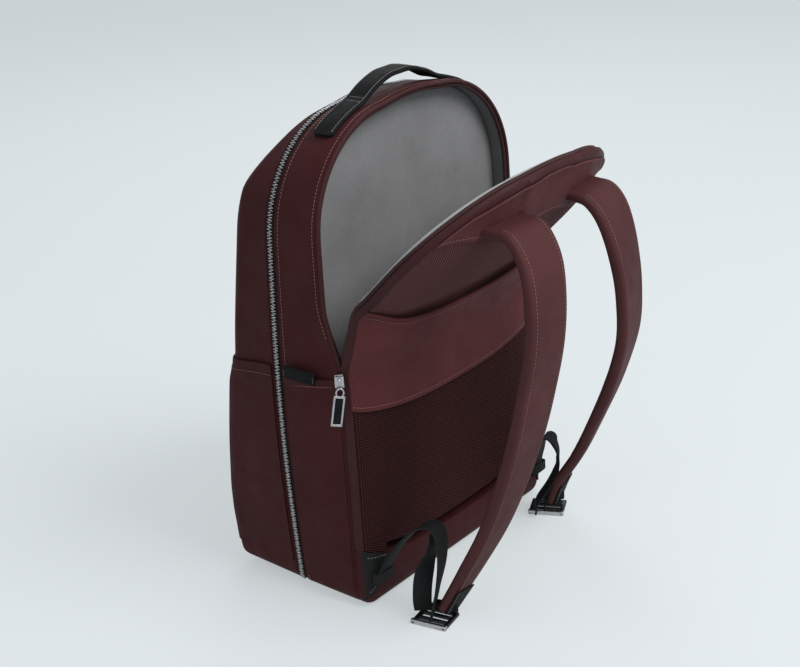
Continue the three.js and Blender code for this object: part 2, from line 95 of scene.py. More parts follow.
def add_camera():
    data = bpy.data.cameras.new("camera")
    data.lens = 72.07
    data.sensor_width = 36.0
    data.clip_end = 50.0
    camera = bpy.data.objects.new("camera", data)
    bpy.context.scene.collection.objects.link(camera)
    point_at(camera, (-1.1146, -0.9505, 0.8177), (0.0719, 0.0493, 0.1813), math.radians(-3.778))
    bpy.context.scene.camera = camera


def add_area(name, place, size, power):
    """A soft light that faces the middle of the pack."""
    data = bpy.data.lights.new(name, "AREA")
    data.shape = "RECTANGLE"
    data.size, data.size_y = size
    data.energy = power
    light = bpy.data.objects.new(name, data)
    bpy.context.scene.collection.objects.link(light)
    point_at(light, place, (0, 0, 0.25))


def add_studio():
    world = bpy.data.worlds.new("studio")
    world.use_nodes = True
    backdrop = world.node_tree.nodes["Background"]
    backdrop.inputs["Color"].default_value = (0.74, 0.79, 0.81, 1)
    backdrop.inputs["Strength"].default_value = 0.75
    bpy.context.scene.world = world
    add_area("key", (0.3, -1.7, 2.1), (1.4, 1.2), 54)
    add_area("rim", (1.4, 1.2, 1.6), (1.2, 1.2), 10)
    add_area("left_fill", (-2.0, -0.2, 1.4), (1.4, 1.2), 4.5)
    reach = 12.0
    corners = [(-reach, -reach, 0), (reach, -reach, 0), (reach, reach, 0), (-reach, reach, 0)]
    mesh = bpy.data.meshes.new("floor")
    mesh.from_pydata(corners, [], [(0, 1, 2, 3)])
    floor = bpy.data.objects.new("floor", mesh)
    bpy.context.scene.collection.objects.link(floor)
    mat = bpy.data.materials.new("floor")
    mat.use_nodes = True
    shader = mat.node_tree.nodes["Principled BSDF"]
    shader.inputs["Base Color"].default_value = (0.30, 0.315, 0.325, 1)
    shader.inputs["Emission Color"].default_value = (0.93, 0.985, 1.0, 1)
    shader.inputs["Emission Strength"].default_value = 0.44
    shader.inputs["Specular IOR Level"].default_value = 0.0
    shader.inputs["Roughness"].default_value = 0.9
    mesh.materials.append(mat)
    bpy.context.scene.view_settings.view_transform = "Standard"


add_camera()
add_studio()


# ---- materials -------------------------------------------------------------------------------
class Look:
    """A Principled material with a few helpers to wire procedural nodes."""

    def __init__(self, name, rough, metal=0.0, shine=0.5):
        self.mat = bpy.data.materials.new(name)
        self.mat.use_nodes = True
        self.tree = self.mat.node_tree
        self.shader = self.tree.nodes["Principled BSDF"]
        self.shader.inputs["Metallic"].default_value = metal
        self.shader.inputs["Roughness"].default_value = rough
        self.shader.inputs["Specular IOR Level"].default_value = shine

    def node(self, kind, **settings):
        n = self.tree.nodes.new(kind)
        for key, value in settings.items():
            setattr(n, key, value)
        return n

    def link(self, a, b):
        self.tree.links.new(a, b)

    def math(self, operation, a, b=None):
        n = self.node("ShaderNodeMath", operation=operation)
        for socket, value in zip(n.inputs, (a, b)):
            if value is None:
                continue
            if hasattr(value, "node"):
                self.link(value, socket)
            else:
                socket.default_value = value
        return n.outputs[0]

    def place(self, scale, uv=False):
        """Coordinates in metres times scale: along the cloth, or through space."""
        if uv:
            source = self.node("ShaderNodeUVMap", uv_map="cloth").outputs[0]
        else:
            source = self.node("ShaderNodeTexCoord").outputs["Object"]
        mapping = self.node("ShaderNodeMapping")
        self.link(source, mapping.inputs["Vector"])
        mapping.inputs["Scale"].default_value = (scale,) * 3
        return mapping.outputs[0]

    def noise(self, scale, detail):
        n = self.node("ShaderNodeTexNoise")
        self.link(self.place(scale), n.inputs["Vector"])
        n.inputs["Scale"].default_value = 1.0
        n.inputs["Detail"].default_value = detail
        return n.outputs["Fac"]

    def ramp(self, value, stops):
        n = self.node("ShaderNodeValToRGB")
        self.link(value, n.inputs["Fac"])
        ends = n.color_ramp.elements
        while len(ends) < len(stops):
            ends.new(0.5)
        for element, (position, colour) in zip(ends, stops):
            element.position = position
            element.color = (*colour, 1)
        return n.outputs["Color"]

    def mix(self, factor, a, b, blend="MIX"):
        n = self.node("ShaderNodeMix", data_type="RGBA", blend_type=blend)
        for index, value in ((0, factor), (6, a), (7, b)):
            if hasattr(value, "node"):
                self.link(value, n.inputs[index])
            elif index == 0:
                n.inputs[index].default_value = value
            else:
                n.inputs[index].default_value = (*value, 1)
        return n.outputs[2]

    def colour(self, value):
        self.link(value, self.shader.inputs["Base Color"])

    def roughness(self, value):
        self.link(value, self.shader.inputs["Roughness"])

    def bumps(self, *layers):
        """Each layer is (height, strength, distance); they are chained from the coarsest to the finest."""
        last = None
        for height, strength, distance in layers:
            n = self.node("ShaderNodeBump")
            n.inputs["Strength"].default_value = strength
            n.inputs["Distance"].default_value = distance
            self.link(height, n.inputs["Height"])
            if last is not None:
                self.link(last, n.inputs["Normal"])
            last = n.outputs[0]
        self.link(last, self.shader.inputs["Normal"])

    def split(self, scale):
        """The two directions along the cloth, in metres times scale."""
        n = self.node("ShaderNodeSeparateXYZ")
        self.link(self.place(scale, uv=True), n.inputs[0])
        return n.outputs[0], n.outputs[1]

    def weave(self, pitch):
        """Over-and-under threads: two crossed waves along the cloth."""
        u, v = self.split(math.pi / pitch)
        return self.math("MULTIPLY", self.math("SINE", u), self.math("SINE", v))

    def hexagons(self, pitch):
        """Three waves at 60 degrees, whose sum dips in a hexagonal pattern of holes."""
        u, v = self.split(2 * math.pi / pitch)
        half = self.math("MULTIPLY", u, 0.5)
        tall = self.math("MULTIPLY", v, math.sqrt(3) / 2)
        waves = [self.math("COSINE", w) for w in (u, self.math("ADD", half, tall), self.math("SUBTRACT", half, tall))]
        return self.math("ADD", self.math("ADD", waves[0], waves[1]), waves[2])


def shades(base, *factors):
    return [tuple(c * f for c in base) for f in factors]


def cloth_look(name, base, pitch=0.9 * MM, rough=0.62, shine=0.09):
    look = Look(name, rough, shine=shine)
    dark, light = shades(base, 0.86, 1.14)
    tone = look.ramp(look.noise(14, 4), [(0.3, dark), (0.7, light)])
    weave = look.weave(pitch)
    fleck = look.ramp(look.noise(900, 2), [(0.35, (0.9,) * 3), (0.65, (1.08,) * 3)])
    look.colour(look.mix(1.0, tone, fleck, "MULTIPLY"))
    low, high = rough - 0.07, rough + 0.1
    look.roughness(look.ramp(look.noise(60, 3), [(0.3, (low,) * 3), (0.7, (high,) * 3)]))
    look.bumps((look.noise(55, 4), 0.12, 1.2 * MM), (weave, 0.25, 0.12 * MM))
    return look.mat


def mesh_look(name, base, pitch):
    look = Look(name, 0.85, shine=0.05)
    holes = look.hexagons(pitch)
    level = look.math("DIVIDE", look.math("ADD", holes, 1.5), 4.5)
    # painted shade and highlight: the colour follows the knit's height, darkest in the holes and lightest on the
    # crests
    deep, mid, top = shades(base, 0.16, 0.8, 1.35)
    look.colour(look.ramp(level, [(0.08, deep), (0.34, mid), (0.8, top)]))
    look.bumps((look.noise(40, 3), 0.15, 1.5 * MM), (level, 0.8, 0.9 * MM), (look.noise(1500, 2), 0.2, 0.2 * MM))
    return look.mat


def rib_look(name, base, pitch):
    """Spacer knit with fine ribs running up the panel."""
    look = Look(name, 0.85, shine=0.05)
    u, v = look.split(2 * math.pi / pitch)
    lean = look.math("ADD", u, look.math("MULTIPLY", v, 0.12))
    rib = look.math("ADD", look.math("MULTIPLY", look.math("COSINE", lean), 0.42),
                    look.math("MULTIPLY", look.math("COSINE", look.math("MULTIPLY", v, 1.6)), 0.08))
    level = look.math("ADD", rib, 0.5)
    # painted shade and highlight: darkest in the grooves between the ribs, lightest on their crests
    deep, mid, top = shades(base, 0.22, 0.8, 1.4)
    look.colour(look.ramp(level, [(0.1, deep), (0.4, mid), (0.85, top)]))
    look.bumps((look.noise(40, 3), 0.15, 1.5 * MM), (level, 0.8, 0.7 * MM), (look.noise(1500, 2), 0.2, 0.2 * MM))
    return look.mat


def leather_look(name, base):
    look = Look(name, 0.6, shine=0.05)
    cells = look.node("ShaderNodeTexVoronoi")
    look.link(look.place(700), cells.inputs["Vector"])
    cells.inputs["Scale"].default_value = 1.0
    grain = cells.outputs["Distance"]
    dark, light = shades(base, 0.75, 1.2)
    look.colour(look.ramp(look.noise(60, 4), [(0.3, dark), (0.7, light)]))
    look.roughness(look.ramp(look.noise(200, 3), [(0.3, (0.55,) * 3), (0.7, (0.7,) * 3)]))
    look.bumps((look.noise(120, 3), 0.1, 0.6 * MM), (grain, 0.35, 0.25 * MM))
    return look.mat


def webbing_look(name, base):
    look = Look(name, 0.8, shine=0.15)
    u, v = look.split(math.pi / (1.3 * MM))
    rib = look.math("MULTIPLY", look.math("SINE", look.math("ADD", u, v)),
                    look.math("SINE", look.math("SUBTRACT", u, v)))
    level = look.math("MULTIPLY_ADD", rib, 0.5)
    level.node.inputs[2].default_value = 0.5
    # painted shade and highlight: darker in the weave's valleys, lighter on its crests
    dark, light = shades(base, 0.55, 1.3)
    look.colour(look.ramp(level, [(0.1, dark), (0.8, light)]))
    look.bumps((level, 0.6, 0.35 * MM), (look.noise(1800, 2), 0.2, 0.1 * MM))
    return look.mat


def metal_look(name, base, rough=0.28):
    look = Look(name, rough, metal=1.0)
    dark, light = shades(base, 0.8, 1.1)
    look.colour(look.ramp(look.noise(300, 3), [(0.3, dark), (0.7, light)]))
    look.roughness(look.ramp(look.noise(500, 4), [(0.3, (rough - 0.06,) * 3), (0.7, (rough + 0.14,) * 3)]))
    look.bumps((look.noise(2500, 2), 0.06, 0.05 * MM),)
    return look.mat


MAROON = (0.0425, 0.0095, 0.0105)
looks = {
    "canvas": cloth_look("canvas", MAROON),
    # partly a different canvas, partly painted light: the maroon canvas made brighter for the light that falls on the
    # straps from above and behind
    "strap_canvas_painted_light": cloth_look("strap_canvas_painted_light", (0.063, 0.0205, 0.0215), shine=0.1),
    # painted light: the sleeve canvas is the maroon canvas made brighter, standing in for the key light on the back
    # panel
    "panel_canvas_painted_light": cloth_look("panel_canvas_painted_light", (0.088, 0.0245, 0.0255), shine=0.07),
    "binding": cloth_look("binding", (0.043, 0.0135, 0.0145), pitch=0.7 * MM, rough=0.55),
    # painted light: the yoke canvas is the maroon canvas made brighter, standing in for light that the yoke, lying in
    # shade, does not get
    "yoke_canvas_painted_light": cloth_look("yoke_canvas_painted_light", (0.084, 0.029, 0.030), shine=0.07),
    "mesh": mesh_look("mesh", (0.050, 0.0165, 0.017), 2.3 * MM),
    "rib_mesh": rib_look("rib_mesh", (0.105, 0.043, 0.043), 2.3 * MM),
    "lining": cloth_look("lining", (0.165, 0.163, 0.165), pitch=0.8 * MM, rough=0.6),
    "pale_lining": cloth_look("pale_lining", (0.35, 0.35, 0.347), pitch=0.8 * MM, rough=0.7),
    "leather": leather_look("leather", (0.009, 0.0095, 0.0097)),
    "webbing": webbing_look("webbing", (0.013, 0.0135, 0.014)),
    "zip_tape": cloth_look("zip_tape", (0.030, 0.0125, 0.0128), pitch=0.6 * MM, rough=0.8),
    "zip_metal": metal_look("zip_metal", (0.42, 0.42, 0.43), 0.32),
    "coil": cloth_look("coil", (0.05, 0.022, 0.023), pitch=0.6 * MM, rough=0.4),
    "thread": cloth_look("thread", (0.24, 0.125, 0.12), pitch=0.3 * MM, rough=0.7),
    "pale_thread": cloth_look("pale_thread", (0.2, 0.19, 0.19), pitch=0.3 * MM, rough=0.7),
    "buckle_metal": metal_look("buckle_metal", (0.045, 0.046, 0.048), 0.4),
    "bright_metal": metal_look("bright_metal", (0.46, 0.46, 0.47), 0.28),
}


# ---- mesh helpers ----------------------------------------------------------------------------
SHARP = 42         # degrees between faces from which an edge is drawn sharp


def make(name, verts, faces, mats, index=None, uvs=None, sharp=SHARP):
    """A mesh object; mats are names of looks, index gives each face its look, uvs lie along the cloth."""
    mesh = bpy.data.meshes.new(name)
    mesh.from_pydata([tuple(map(float, v)) for v in verts], [], faces)
    for m in mats:
        mesh.materials.append(looks[m])
    if index is not None:
        mesh.polygons.foreach_set("material_index", np.asarray(index, np.int32))
    layer = mesh.uv_layers.new(name="cloth")
    if uvs is not None:
        corner = np.empty(len(mesh.loops), np.int32)
        mesh.loops.foreach_get("vertex_index", corner)
        layer.data.foreach_set("uv", np.asarray(uvs, np.float32)[corner].ravel())
    bm = bmesh.new()
    bm.from_mesh(mesh)
    bmesh.ops.remove_doubles(bm, verts=bm.verts, dist=2e-6)
    bmesh.ops.recalc_face_normals(bm, faces=bm.faces)
    bm.to_mesh(mesh)
    bm.free()
    mesh.shade_smooth()
    mesh.set_sharp_from_angle(angle=math.radians(sharp))
    obj = bpy.data.objects.new(name, mesh)
    bpy.context.scene.collection.objects.link(obj)
    return obj


def join(name, parts):
    """Several meshes become one piece; materials stay with their faces."""
    target = parts[0]
    bm = bmesh.new()
    mats = []
    for part in parts:
        offset = []
        for m in part.data.materials:
            if m not in mats:
                mats.append(m)
            offset.append(mats.index(m))
        start = len(bm.faces)
        bm.from_mesh(part.data)
        bm.faces.ensure_lookup_table()
        for face in bm.faces[start:]:
            face.material_index = offset[face.material_index]
    mesh = bpy.data.meshes.new(name)
    for m in mats:
        mesh.materials.append(m)
    bm.to_mesh(mesh)
    bm.free()
    mesh.set_sharp_from_angle(angle=math.radians(SHARP))
    for part in parts[1:]:
        bpy.data.objects.remove(part)
    target.data = mesh
    target.name = name
    return target


def loft(name, rings, mats, section_mats=None, closed=False):
    """Rings of section points, joined one to the next; open runs get a cap at each end."""
    rings = np.asarray(rings, float)
    count, m = rings.shape[:2]
    verts = rings.reshape(-1, 3).tolist()
    faces, index = [], []
    spans = count if closed else count - 1
    section_mats = section_mats if section_mats is not None else [0] * m
    for r in range(spans):
        s = (r + 1) % count
        for i in range(m):
            j = (i + 1) % m
            faces.append((r * m + i, r * m + j, s * m + j, s * m + i))
            index.append(section_mats[i])
    along = np.concatenate([[0], np.cumsum(np.linalg.norm(np.diff(rings.mean(axis=1), axis=0), axis=1))])
    around = np.concatenate([[0], np.cumsum(np.linalg.norm(np.diff(rings[count // 2], axis=0), axis=1))])
    uvs = [(around[i], along[r]) for r in range(count) for i in range(m)]
    if not closed:
        for r in (0, count - 1):
            verts.append(rings[r].mean(axis=0).tolist())
            uvs.append((0.0, along[r]))
            hub = len(verts) - 1
            for i in range(m):
                faces.append((hub, r * m + i, r * m + (i + 1) % m))
                index.append(section_mats[i])
    return make(name, verts, faces, mats, index, uvs)


def frames_along(points, hint):
    """Tangents and sideways directions along a path; hint gives the side direction at each point."""
    points = np.asarray(points, float)
    tangent = np.gradient(points, axis=0)
    tangent /= np.linalg.norm(tangent, axis=1)[:, None]
    hint = np.broadcast_to(np.asarray(hint, float), points.shape)
    across = hint - (hint * tangent).sum(axis=1)[:, None] * tangent
    across /= np.linalg.norm(across, axis=1)[:, None]
    return tangent, across, np.cross(tangent, across)


def catmull(points, count):
    """A smooth curve through points, evenly spaced along its length."""
    p = np.asarray(points, float)
    p = np.vstack([2 * p[0] - p[1], p, 2 * p[-1] - p[-2]])
    dense = []
    for i in range(1, len(p) - 2):
        t = np.linspace(0, 1, 24, endpoint=False)[:, None]
        a, b, c, d = p[i - 1], p[i], p[i + 1], p[i + 2]
        dense.append(0.5 * (2 * b + (c - a) * t + (2 * a - 5 * b + 4 * c - d) * t ** 2
                            + (3 * b - a - 3 * c + d) * t ** 3))
    dense = np.vstack(dense + [p[-2][None]])
    return resample(dense, count)


def resample(points, count):
    """The same path, evenly spaced along its length."""
    points = np.asarray(points, float)
    run = np.concatenate([[0], np.cumsum(np.linalg.norm(np.diff(points, axis=0), axis=1))])
    at = np.linspace(0, run[-1], count)
    return np.stack([np.interp(at, run, points[:, k]) for k in range(points.shape[1])], axis=1)


def spread(values, count):
    """Values given at even steps, eased to count steps."""
    values = np.asarray(values, float)
    at = np.linspace(0, len(values) - 1, count)
    if values.ndim == 1:
        return np.interp(at, np.arange(len(values)), values)
    return np.stack([np.interp(at, np.arange(len(values)), values[:, k]) for k in range(values.shape[1])], axis=1)


def stitches(name, points, normals, look="thread", pitch=3.4 * MM, length=2.3 * MM, radius=0.32 * MM):
    """A row of short threads lying on a surface."""
    points = np.asarray(points, float)
    normals = np.asarray(normals, float)
    run = np.concatenate([[0], np.cumsum(np.linalg.norm(np.diff(points, axis=0), axis=1))])
    verts, faces = [], []
    around = 6
    profile = [(-0.5, 0.25), (-0.38, 0.9), (0.0, 1.0), (0.38, 0.9), (0.5, 0.25)]
    for k in range(int(run[-1] / pitch)):
        at = (k + 0.5) * pitch
        here = np.array([np.interp(at, run, points[:, a]) for a in range(3)])
        ahead = np.array([np.interp(at + 0.3 * MM, run, points[:, a]) for a in range(3)])
        up = np.array([np.interp(at, run, normals[:, a]) for a in range(3)])
        along = ahead - here
        along /= np.linalg.norm(along) + 1e-12
        up -= up.dot(along) * along
        up /= np.linalg.norm(up) + 1e-12
        side = np.cross(along, up)
        base = len(verts)
        for offset, grow in profile:
            for i in range(around):
                a = 2 * math.pi * i / around
                verts.append(here + along * offset * length
                             + (side * math.cos(a) + up * (math.sin(a) * 0.7)) * radius * grow)
        for r in range(len(profile) - 1):
            for i in range(around):
                j = (i + 1) % around
                faces.append((base + r * around + i, base + r * around + j,
                              base + (r + 1) * around + j, base + (r + 1) * around + i))
        last = base + (len(profile) - 1) * around
        faces.append(tuple(base + i for i in range(around)))
        faces.append(tuple(last + i for i in range(around)))
    uvs = [(v[0], v[2]) for v in verts]
    return make(name, verts, faces, [look], uvs=uvs)


def tube(name, points, radius, look, closed=False, hint=(0, 0, 1)):
    _, across, out = frames_along(points, hint)
    rings = [[points[k] + across[k] * math.cos(a) * radius + out[k] * math.sin(a) * radius
              for a in np.linspace(0, 2 * math.pi, 10, endpoint=False)] for k in range(len(points))]
    return loft(name, rings, [look], closed=closed)


def sheet_faces(rows, cols):
    """Faces of a cloth sheet given as two layers of rows x cols quads, closed by a rim."""
    step = (rows + 1) * (cols + 1)
    faces = []
    for r in range(rows):
        for c in range(cols):
            a = r * (cols + 1) + c
            faces.append((a, a + 1, a + cols + 2, a + cols + 1))
            faces.append((a + step, a + cols + 1 + step, a + cols + 2 + step, a + 1 + step))
    rim = (list(range(cols)) + [r * (cols + 1) + cols for r in range(rows)]
           + [rows * (cols + 1) + cols - c for c in range(cols)] + [(rows - r) * (cols + 1) for r in range(rows)])
    for a, b in zip(rim, rim[1:] + rim[:1]):
        faces.append((a, b, b + step, a + step))
    return faces


def finish_piece(obj, body, slot, *nodes):
    """Parents a piece to the empty of one body; a piece given a blend between two bodies is only baked where it
    stands. The slot is not used. Hides the nodes it stands for.
    """
    if isinstance(body, str):
        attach(obj, body)
    else:
        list(body)
        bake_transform(obj)
    if nodes:
        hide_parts(*nodes)


# ---- the arch outline that the panels share ----------------------------------------------------
ACROSS = 28        # steps across half of a panel
STRAIGHT = 60      # steps up the straight side
CORNER = 26        # steps round a top corner


def shape_at(depth):
    """Sizes of the arch at a depth between the back seam and the zip."""
    t = float(np.clip(depth / ZIP_DEPTH, 0, 1))
    return {key: lerp(BACK[key], ZIP[key], t) for key in BACK}


def side_path(shape, inset=0.0, low=None):
    """Right side from the end of the bottom edge (or the height low) to the start of the crown, as (x, z)."""
    w, r = shape["half"] - inset, shape["corner"] - inset
    shoulder = shape["top"] - shape["crown"] - shape["corner"]
    points = []
    f = max(shape["foot"] - inset, 2 * MM)
    if low is None:
        for a in np.linspace(0, math.pi / 2, 9):
            points.append((w - f + f * math.sin(a), inset + f - f * math.cos(a)))
        base = inset + f
    else:
        base = low
        points.append((w, low))
    z0 = shape["foot"]
    heights = np.linspace(base, shoulder, STRAIGHT)
    for z in heights[1:]:
        bow = shape["bulge"] * math.sin(math.pi * np.clip((z - z0) / (shoulder - z0), 0, 1))
        points.append((w + bow, z))
    if low is not None:
        bow = shape["bulge"] * math.sin(math.pi * np.clip((low - z0) / (shoulder - z0), 0, 1))
        points[0] = (w + bow, low)
    for a in np.linspace(0, math.pi / 2, CORNER)[1:]:
        points.append((w - r + r * math.cos(a), shoulder + r * math.sin(a)))
    return np.array(points)


def crown_path(shape, inset=0.0):
    """Top edge from right to left."""
    reach = shape["half"] - shape["corner"]
    x = np.linspace(reach, -reach, 2 * ACROSS + 1)
    return np.stack([x, shape["top"] - inset - shape["crown"] * (x / reach) ** 2], axis=1)


def arch_loop(depth, inset=0.0, shape=None):
    """Closed loop from the middle of the bottom edge up the right side, over the top and down the left."""
    shape = shape or shape_at(depth)
    right = side_path(shape, inset)
    top = crown_path(shape, inset)[1:-1]
    left = right[::-1] * (-1, 1)
    end = right[0, 0]
    bottom_right = np.stack([np.linspace(0, end, ACROSS + 1)[:-1], np.full(ACROSS, inset)], axis=1)
    bottom_left = np.stack([np.linspace(-end, 0, ACROSS + 1)[1:-1], np.full(ACROSS - 1, inset)], axis=1)
    loop = np.vstack([bottom_right, right, top, left, bottom_left])
    for _ in range(3):
        loop = 0.5 * loop + 0.25 * (np.roll(loop, 1, axis=0) + np.roll(loop, -1, axis=0))
    return loop


def outward(loop):
    """Unit normals of a closed (x, z) loop, pointing away from its middle."""
    tangent = np.roll(loop, -1, axis=0) - np.roll(loop, 1, axis=0)
    normal = np.stack([tangent[:, 1], -tangent[:, 0]], axis=1)
    return normal / np.linalg.norm(normal, axis=1)[:, None]


def zip_depth(z):
    """Depth of the main zip: level, but curving forwards round the hinge at the bottom."""
    d, h = HINGE
    low = np.clip(h - z, 0, h)
    return np.where(z >= h, ZIP_DEPTH, d - np.sqrt((d - ZIP_DEPTH) ** 2 - low ** 2))


def opening_depth(z):
    """How far the wall's free edge stands back from the seam above the end of the laptop zip."""
    return 15 * MM * ease((z - SPLIT_Z) / (70 * MM))


def wobble(p, scale, amount, seed=0.0):
    """Soft, repeatable unevenness of stuffed cloth."""
    return amount * noise.noise(Vector((p[0] * scale + seed, p[1] * scale, p[2] * scale)))


# ---- the flap's opened shape -------------------------------------------------------------------
def turned(points, axis, angle):
    """Rotates points about a line along X at axis = (depth, z)."""
    y0, z0 = SEAM_Y + axis[0], axis[1]
    y, z = points[:, 1] - y0, points[:, 2] - z0
    c, s = np.cos(angle), np.sin(angle)
    return np.stack([points[:, 0], y0 + y * c - z * s, z0 + y * s + z * c], axis=1)


def opened(points):
    """Bends points drawn with the panel closed into the opened rest shape."""
    points = np.asarray(points, float).reshape(-1, 3)
    z = points[:, 2]
    at_b = OPEN_B * ease((z - (FOLD_B[1] - 20 * MM)) / (40 * MM))
    at_a = OPEN_A * ease((z - (FOLD_A[1] - 20 * MM)) / (40 * MM))
    return turned(turned(points, FOLD_B, at_b), FOLD_A, at_a)


# the two bodies at each fold and the points between which the padding would pass from one to the next; finish_piece
# does not use them
blend_a = ("pack_body", "flap_lower", (0, SEAM_Y, 225 * MM), (0, SEAM_Y, 262 * MM))
start_b, end_b = opened([(0, SEAM_Y - 2 * MM, 285 * MM), (0, SEAM_Y - 2 * MM, 325 * MM)])
blend_b = ("flap_lower", "flap_upper", tuple(start_b), tuple(end_b))


def flap_crown(x, z):
    """How far the back panel's face stands off its edge padding: flat low down, domed on the flap."""
    across = np.clip(1 - (np.abs(x) / 0.146) ** 2.2, 0, 1)
    low = 3 * MM
    high = 13 * MM
    fade = 1 - ease((z - 0.40) / 0.085) * 0.75
    return across * lerp(low, high, ease((z - 0.20) / 0.14)) * fade


def min_edge(x, z):
    """Distance in from the arch's outline, near enough for shaping and lifting pieces."""
    shoulder = BACK["top"] - BACK["crown"] - BACK["corner"]
    foot, side = BACK["foot"], BACK["half"] - abs(x)
    if z < foot and side < foot:
        return max(foot - math.hypot(foot - side, foot - z), 0)
    if z < shoulder:
        return max(min(side, z), 0)
    reach = BACK["half"] - BACK["corner"]
    if abs(x) > reach:
        return max(BACK["corner"] - math.hypot(abs(x) - reach, z - shoulder), 0)
    return max(BACK["top"] - z, 0)


def edge_round(e, radius, thick):
    """Rise of a rounded edge at distance e from its rim."""
    t = np.clip(1 - e / radius, 0, 1)
    return thick * np.sqrt(1 - t * t)


def face_depth(x, z, e=1.0):
    """Depth of the back panel's outer face from the seam, before the flap is opened. The flap thins towards
    its zip; e is the distance to the piece's own edge, where a seam draws the cloth in."""
    d = min_edge(x, z)
    flap = ease((z - 0.245) / 0.06)
    thick = lerp(PAD - 4 * MM, 5 * MM, flap)
    swell = (PAD - 4 * MM - thick) * ease(d / (55 * MM))
    seam = 1.0 * MM * (1 - min(e / (3 * MM), 1)) ** 2
    rounded = edge_round(d, lerp(13, 5, flap) * MM, thick)
    return seam - (2 * MM + rounded + swell + flap_crown(x, z) * ease(d / (40 * MM)))


def panel_outline(inset, low, high):
    """Four sides of a panel, (x, z): bottom and top run left to right, the sides run upwards.
    low and high are functions of x; high is None where the panel ends in the arch."""
    shape = shape_at(0.0)
    path = side_path(shape, inset, low=60 * MM)
    path = path[path[:, 1] > 60 * MM]

    def width(z):
        return float(np.interp(z, path[:, 1], path[:, 0])) if z > path[0, 1] else shape["half"] - inset

    z0 = low(shape["half"])
    if high is None:
        keep = path[path[:, 1] > z0 + 1 * MM]
        right = np.vstack([[width(z0), z0], keep])
        top = crown_path(shape, inset)[::-1]
    else:
        z1 = high(shape["half"])
        z = np.linspace(z0, z1, max(int((z1 - z0) / (4 * MM)), 2))
        right = np.stack([[width(v) for v in z], z], axis=1)
        x = np.linspace(-right[-1, 0], right[-1, 0], 2 * ACROSS + 1)
        top = np.stack([x, [high(v) for v in x]], axis=1)
    x = np.linspace(-right[0, 0], right[0, 0], 2 * ACROSS + 1)
    bottom = np.stack([x, [low(v) for v in x]], axis=1)
    left = right * (-1, 1)
    return bottom, right, top, left


def patch(outline):
    """A grid of points between four sides (Coons patch): rows go up, columns go across."""
    bottom, right, top, left = outline
    s = np.linspace(0, 1, len(bottom))[None, :, None]
    span = right[-1, 1] - right[0, 1]
    t = ((right[:, 1] - right[0, 1]) / span)[:, None, None]
    ruled_up = bottom[None] * (1 - t) + top[None] * t
    ruled_over = left[:, None] * (1 - s) + right[:, None] * s
    corners = (bottom[0] * (1 - s) + bottom[-1] * s) * (1 - t) + (top[0] * (1 - s) + top[-1] * s) * t
    return ruled_up + ruled_over - corners


def ring_of(outline):
    bottom, right, top, left = outline
    return np.vstack([bottom[:-1], right[:-1], top[::-1][:-1], left[::-1][:-1]])


def slab(name, outline, insets, front, back, mats, edge_mat=0, front_mat=0, back_mat=0, edge_rings=0, bend=None):
    """A padded slab: rings run in from the edge on both faces, and a patch fills each face. front and back
    give the depth at (x, z) and distance from the edge; edge_mat covers the outermost edge_rings."""
    verts, uvs, faces, index = [], [], [], []

    def add_ring(ring, e, depth_of):
        start = len(verts)
        for x, z in ring:
            verts.append((x, SEAM_Y + float(depth_of(x, z, e)), z))
            uvs.append((x, z))
        return start

    def bridge(a, b, m, mat):
        for i in range(m):
            j = (i + 1) % m
            faces.append((a + i, a + j, b + j, b + i))
            index.append(mat)

    outer = [outline(e) for e in insets]
    m = len(ring_of(outer[0]))
    starts = {}
    for face, depth_of, mat in (("front", front, front_mat), ("back", back, back_mat)):
        last = None
        for k, (e, sides4) in enumerate(zip(insets, outer)):
            start = add_ring(ring_of(sides4), e, depth_of)
            if last is not None:
                bridge(last, start, m, edge_mat if k <= edge_rings else mat)
            else:
                starts[face] = start
            last = start
        grid = patch(outer[-1])
        rows, cols = grid.shape[:2]
        base = len(verts)
        for row in grid:
            for x, z in row:
                verts.append((x, SEAM_Y + float(depth_of(x, z, insets[-1])), z))
                uvs.append((x, z))
        for r in range(rows - 1):
            for c in range(cols - 1):
                a = base + r * cols + c
                faces.append((a, a + 1, a + cols + 1, a + cols))
                index.append(mat)
    bridge(starts["front"], starts["back"], m, edge_mat)
    verts = np.array(verts)
    if bend is not None:
        verts = bend(verts)
    return make(name, verts, faces, mats, index, uvs)


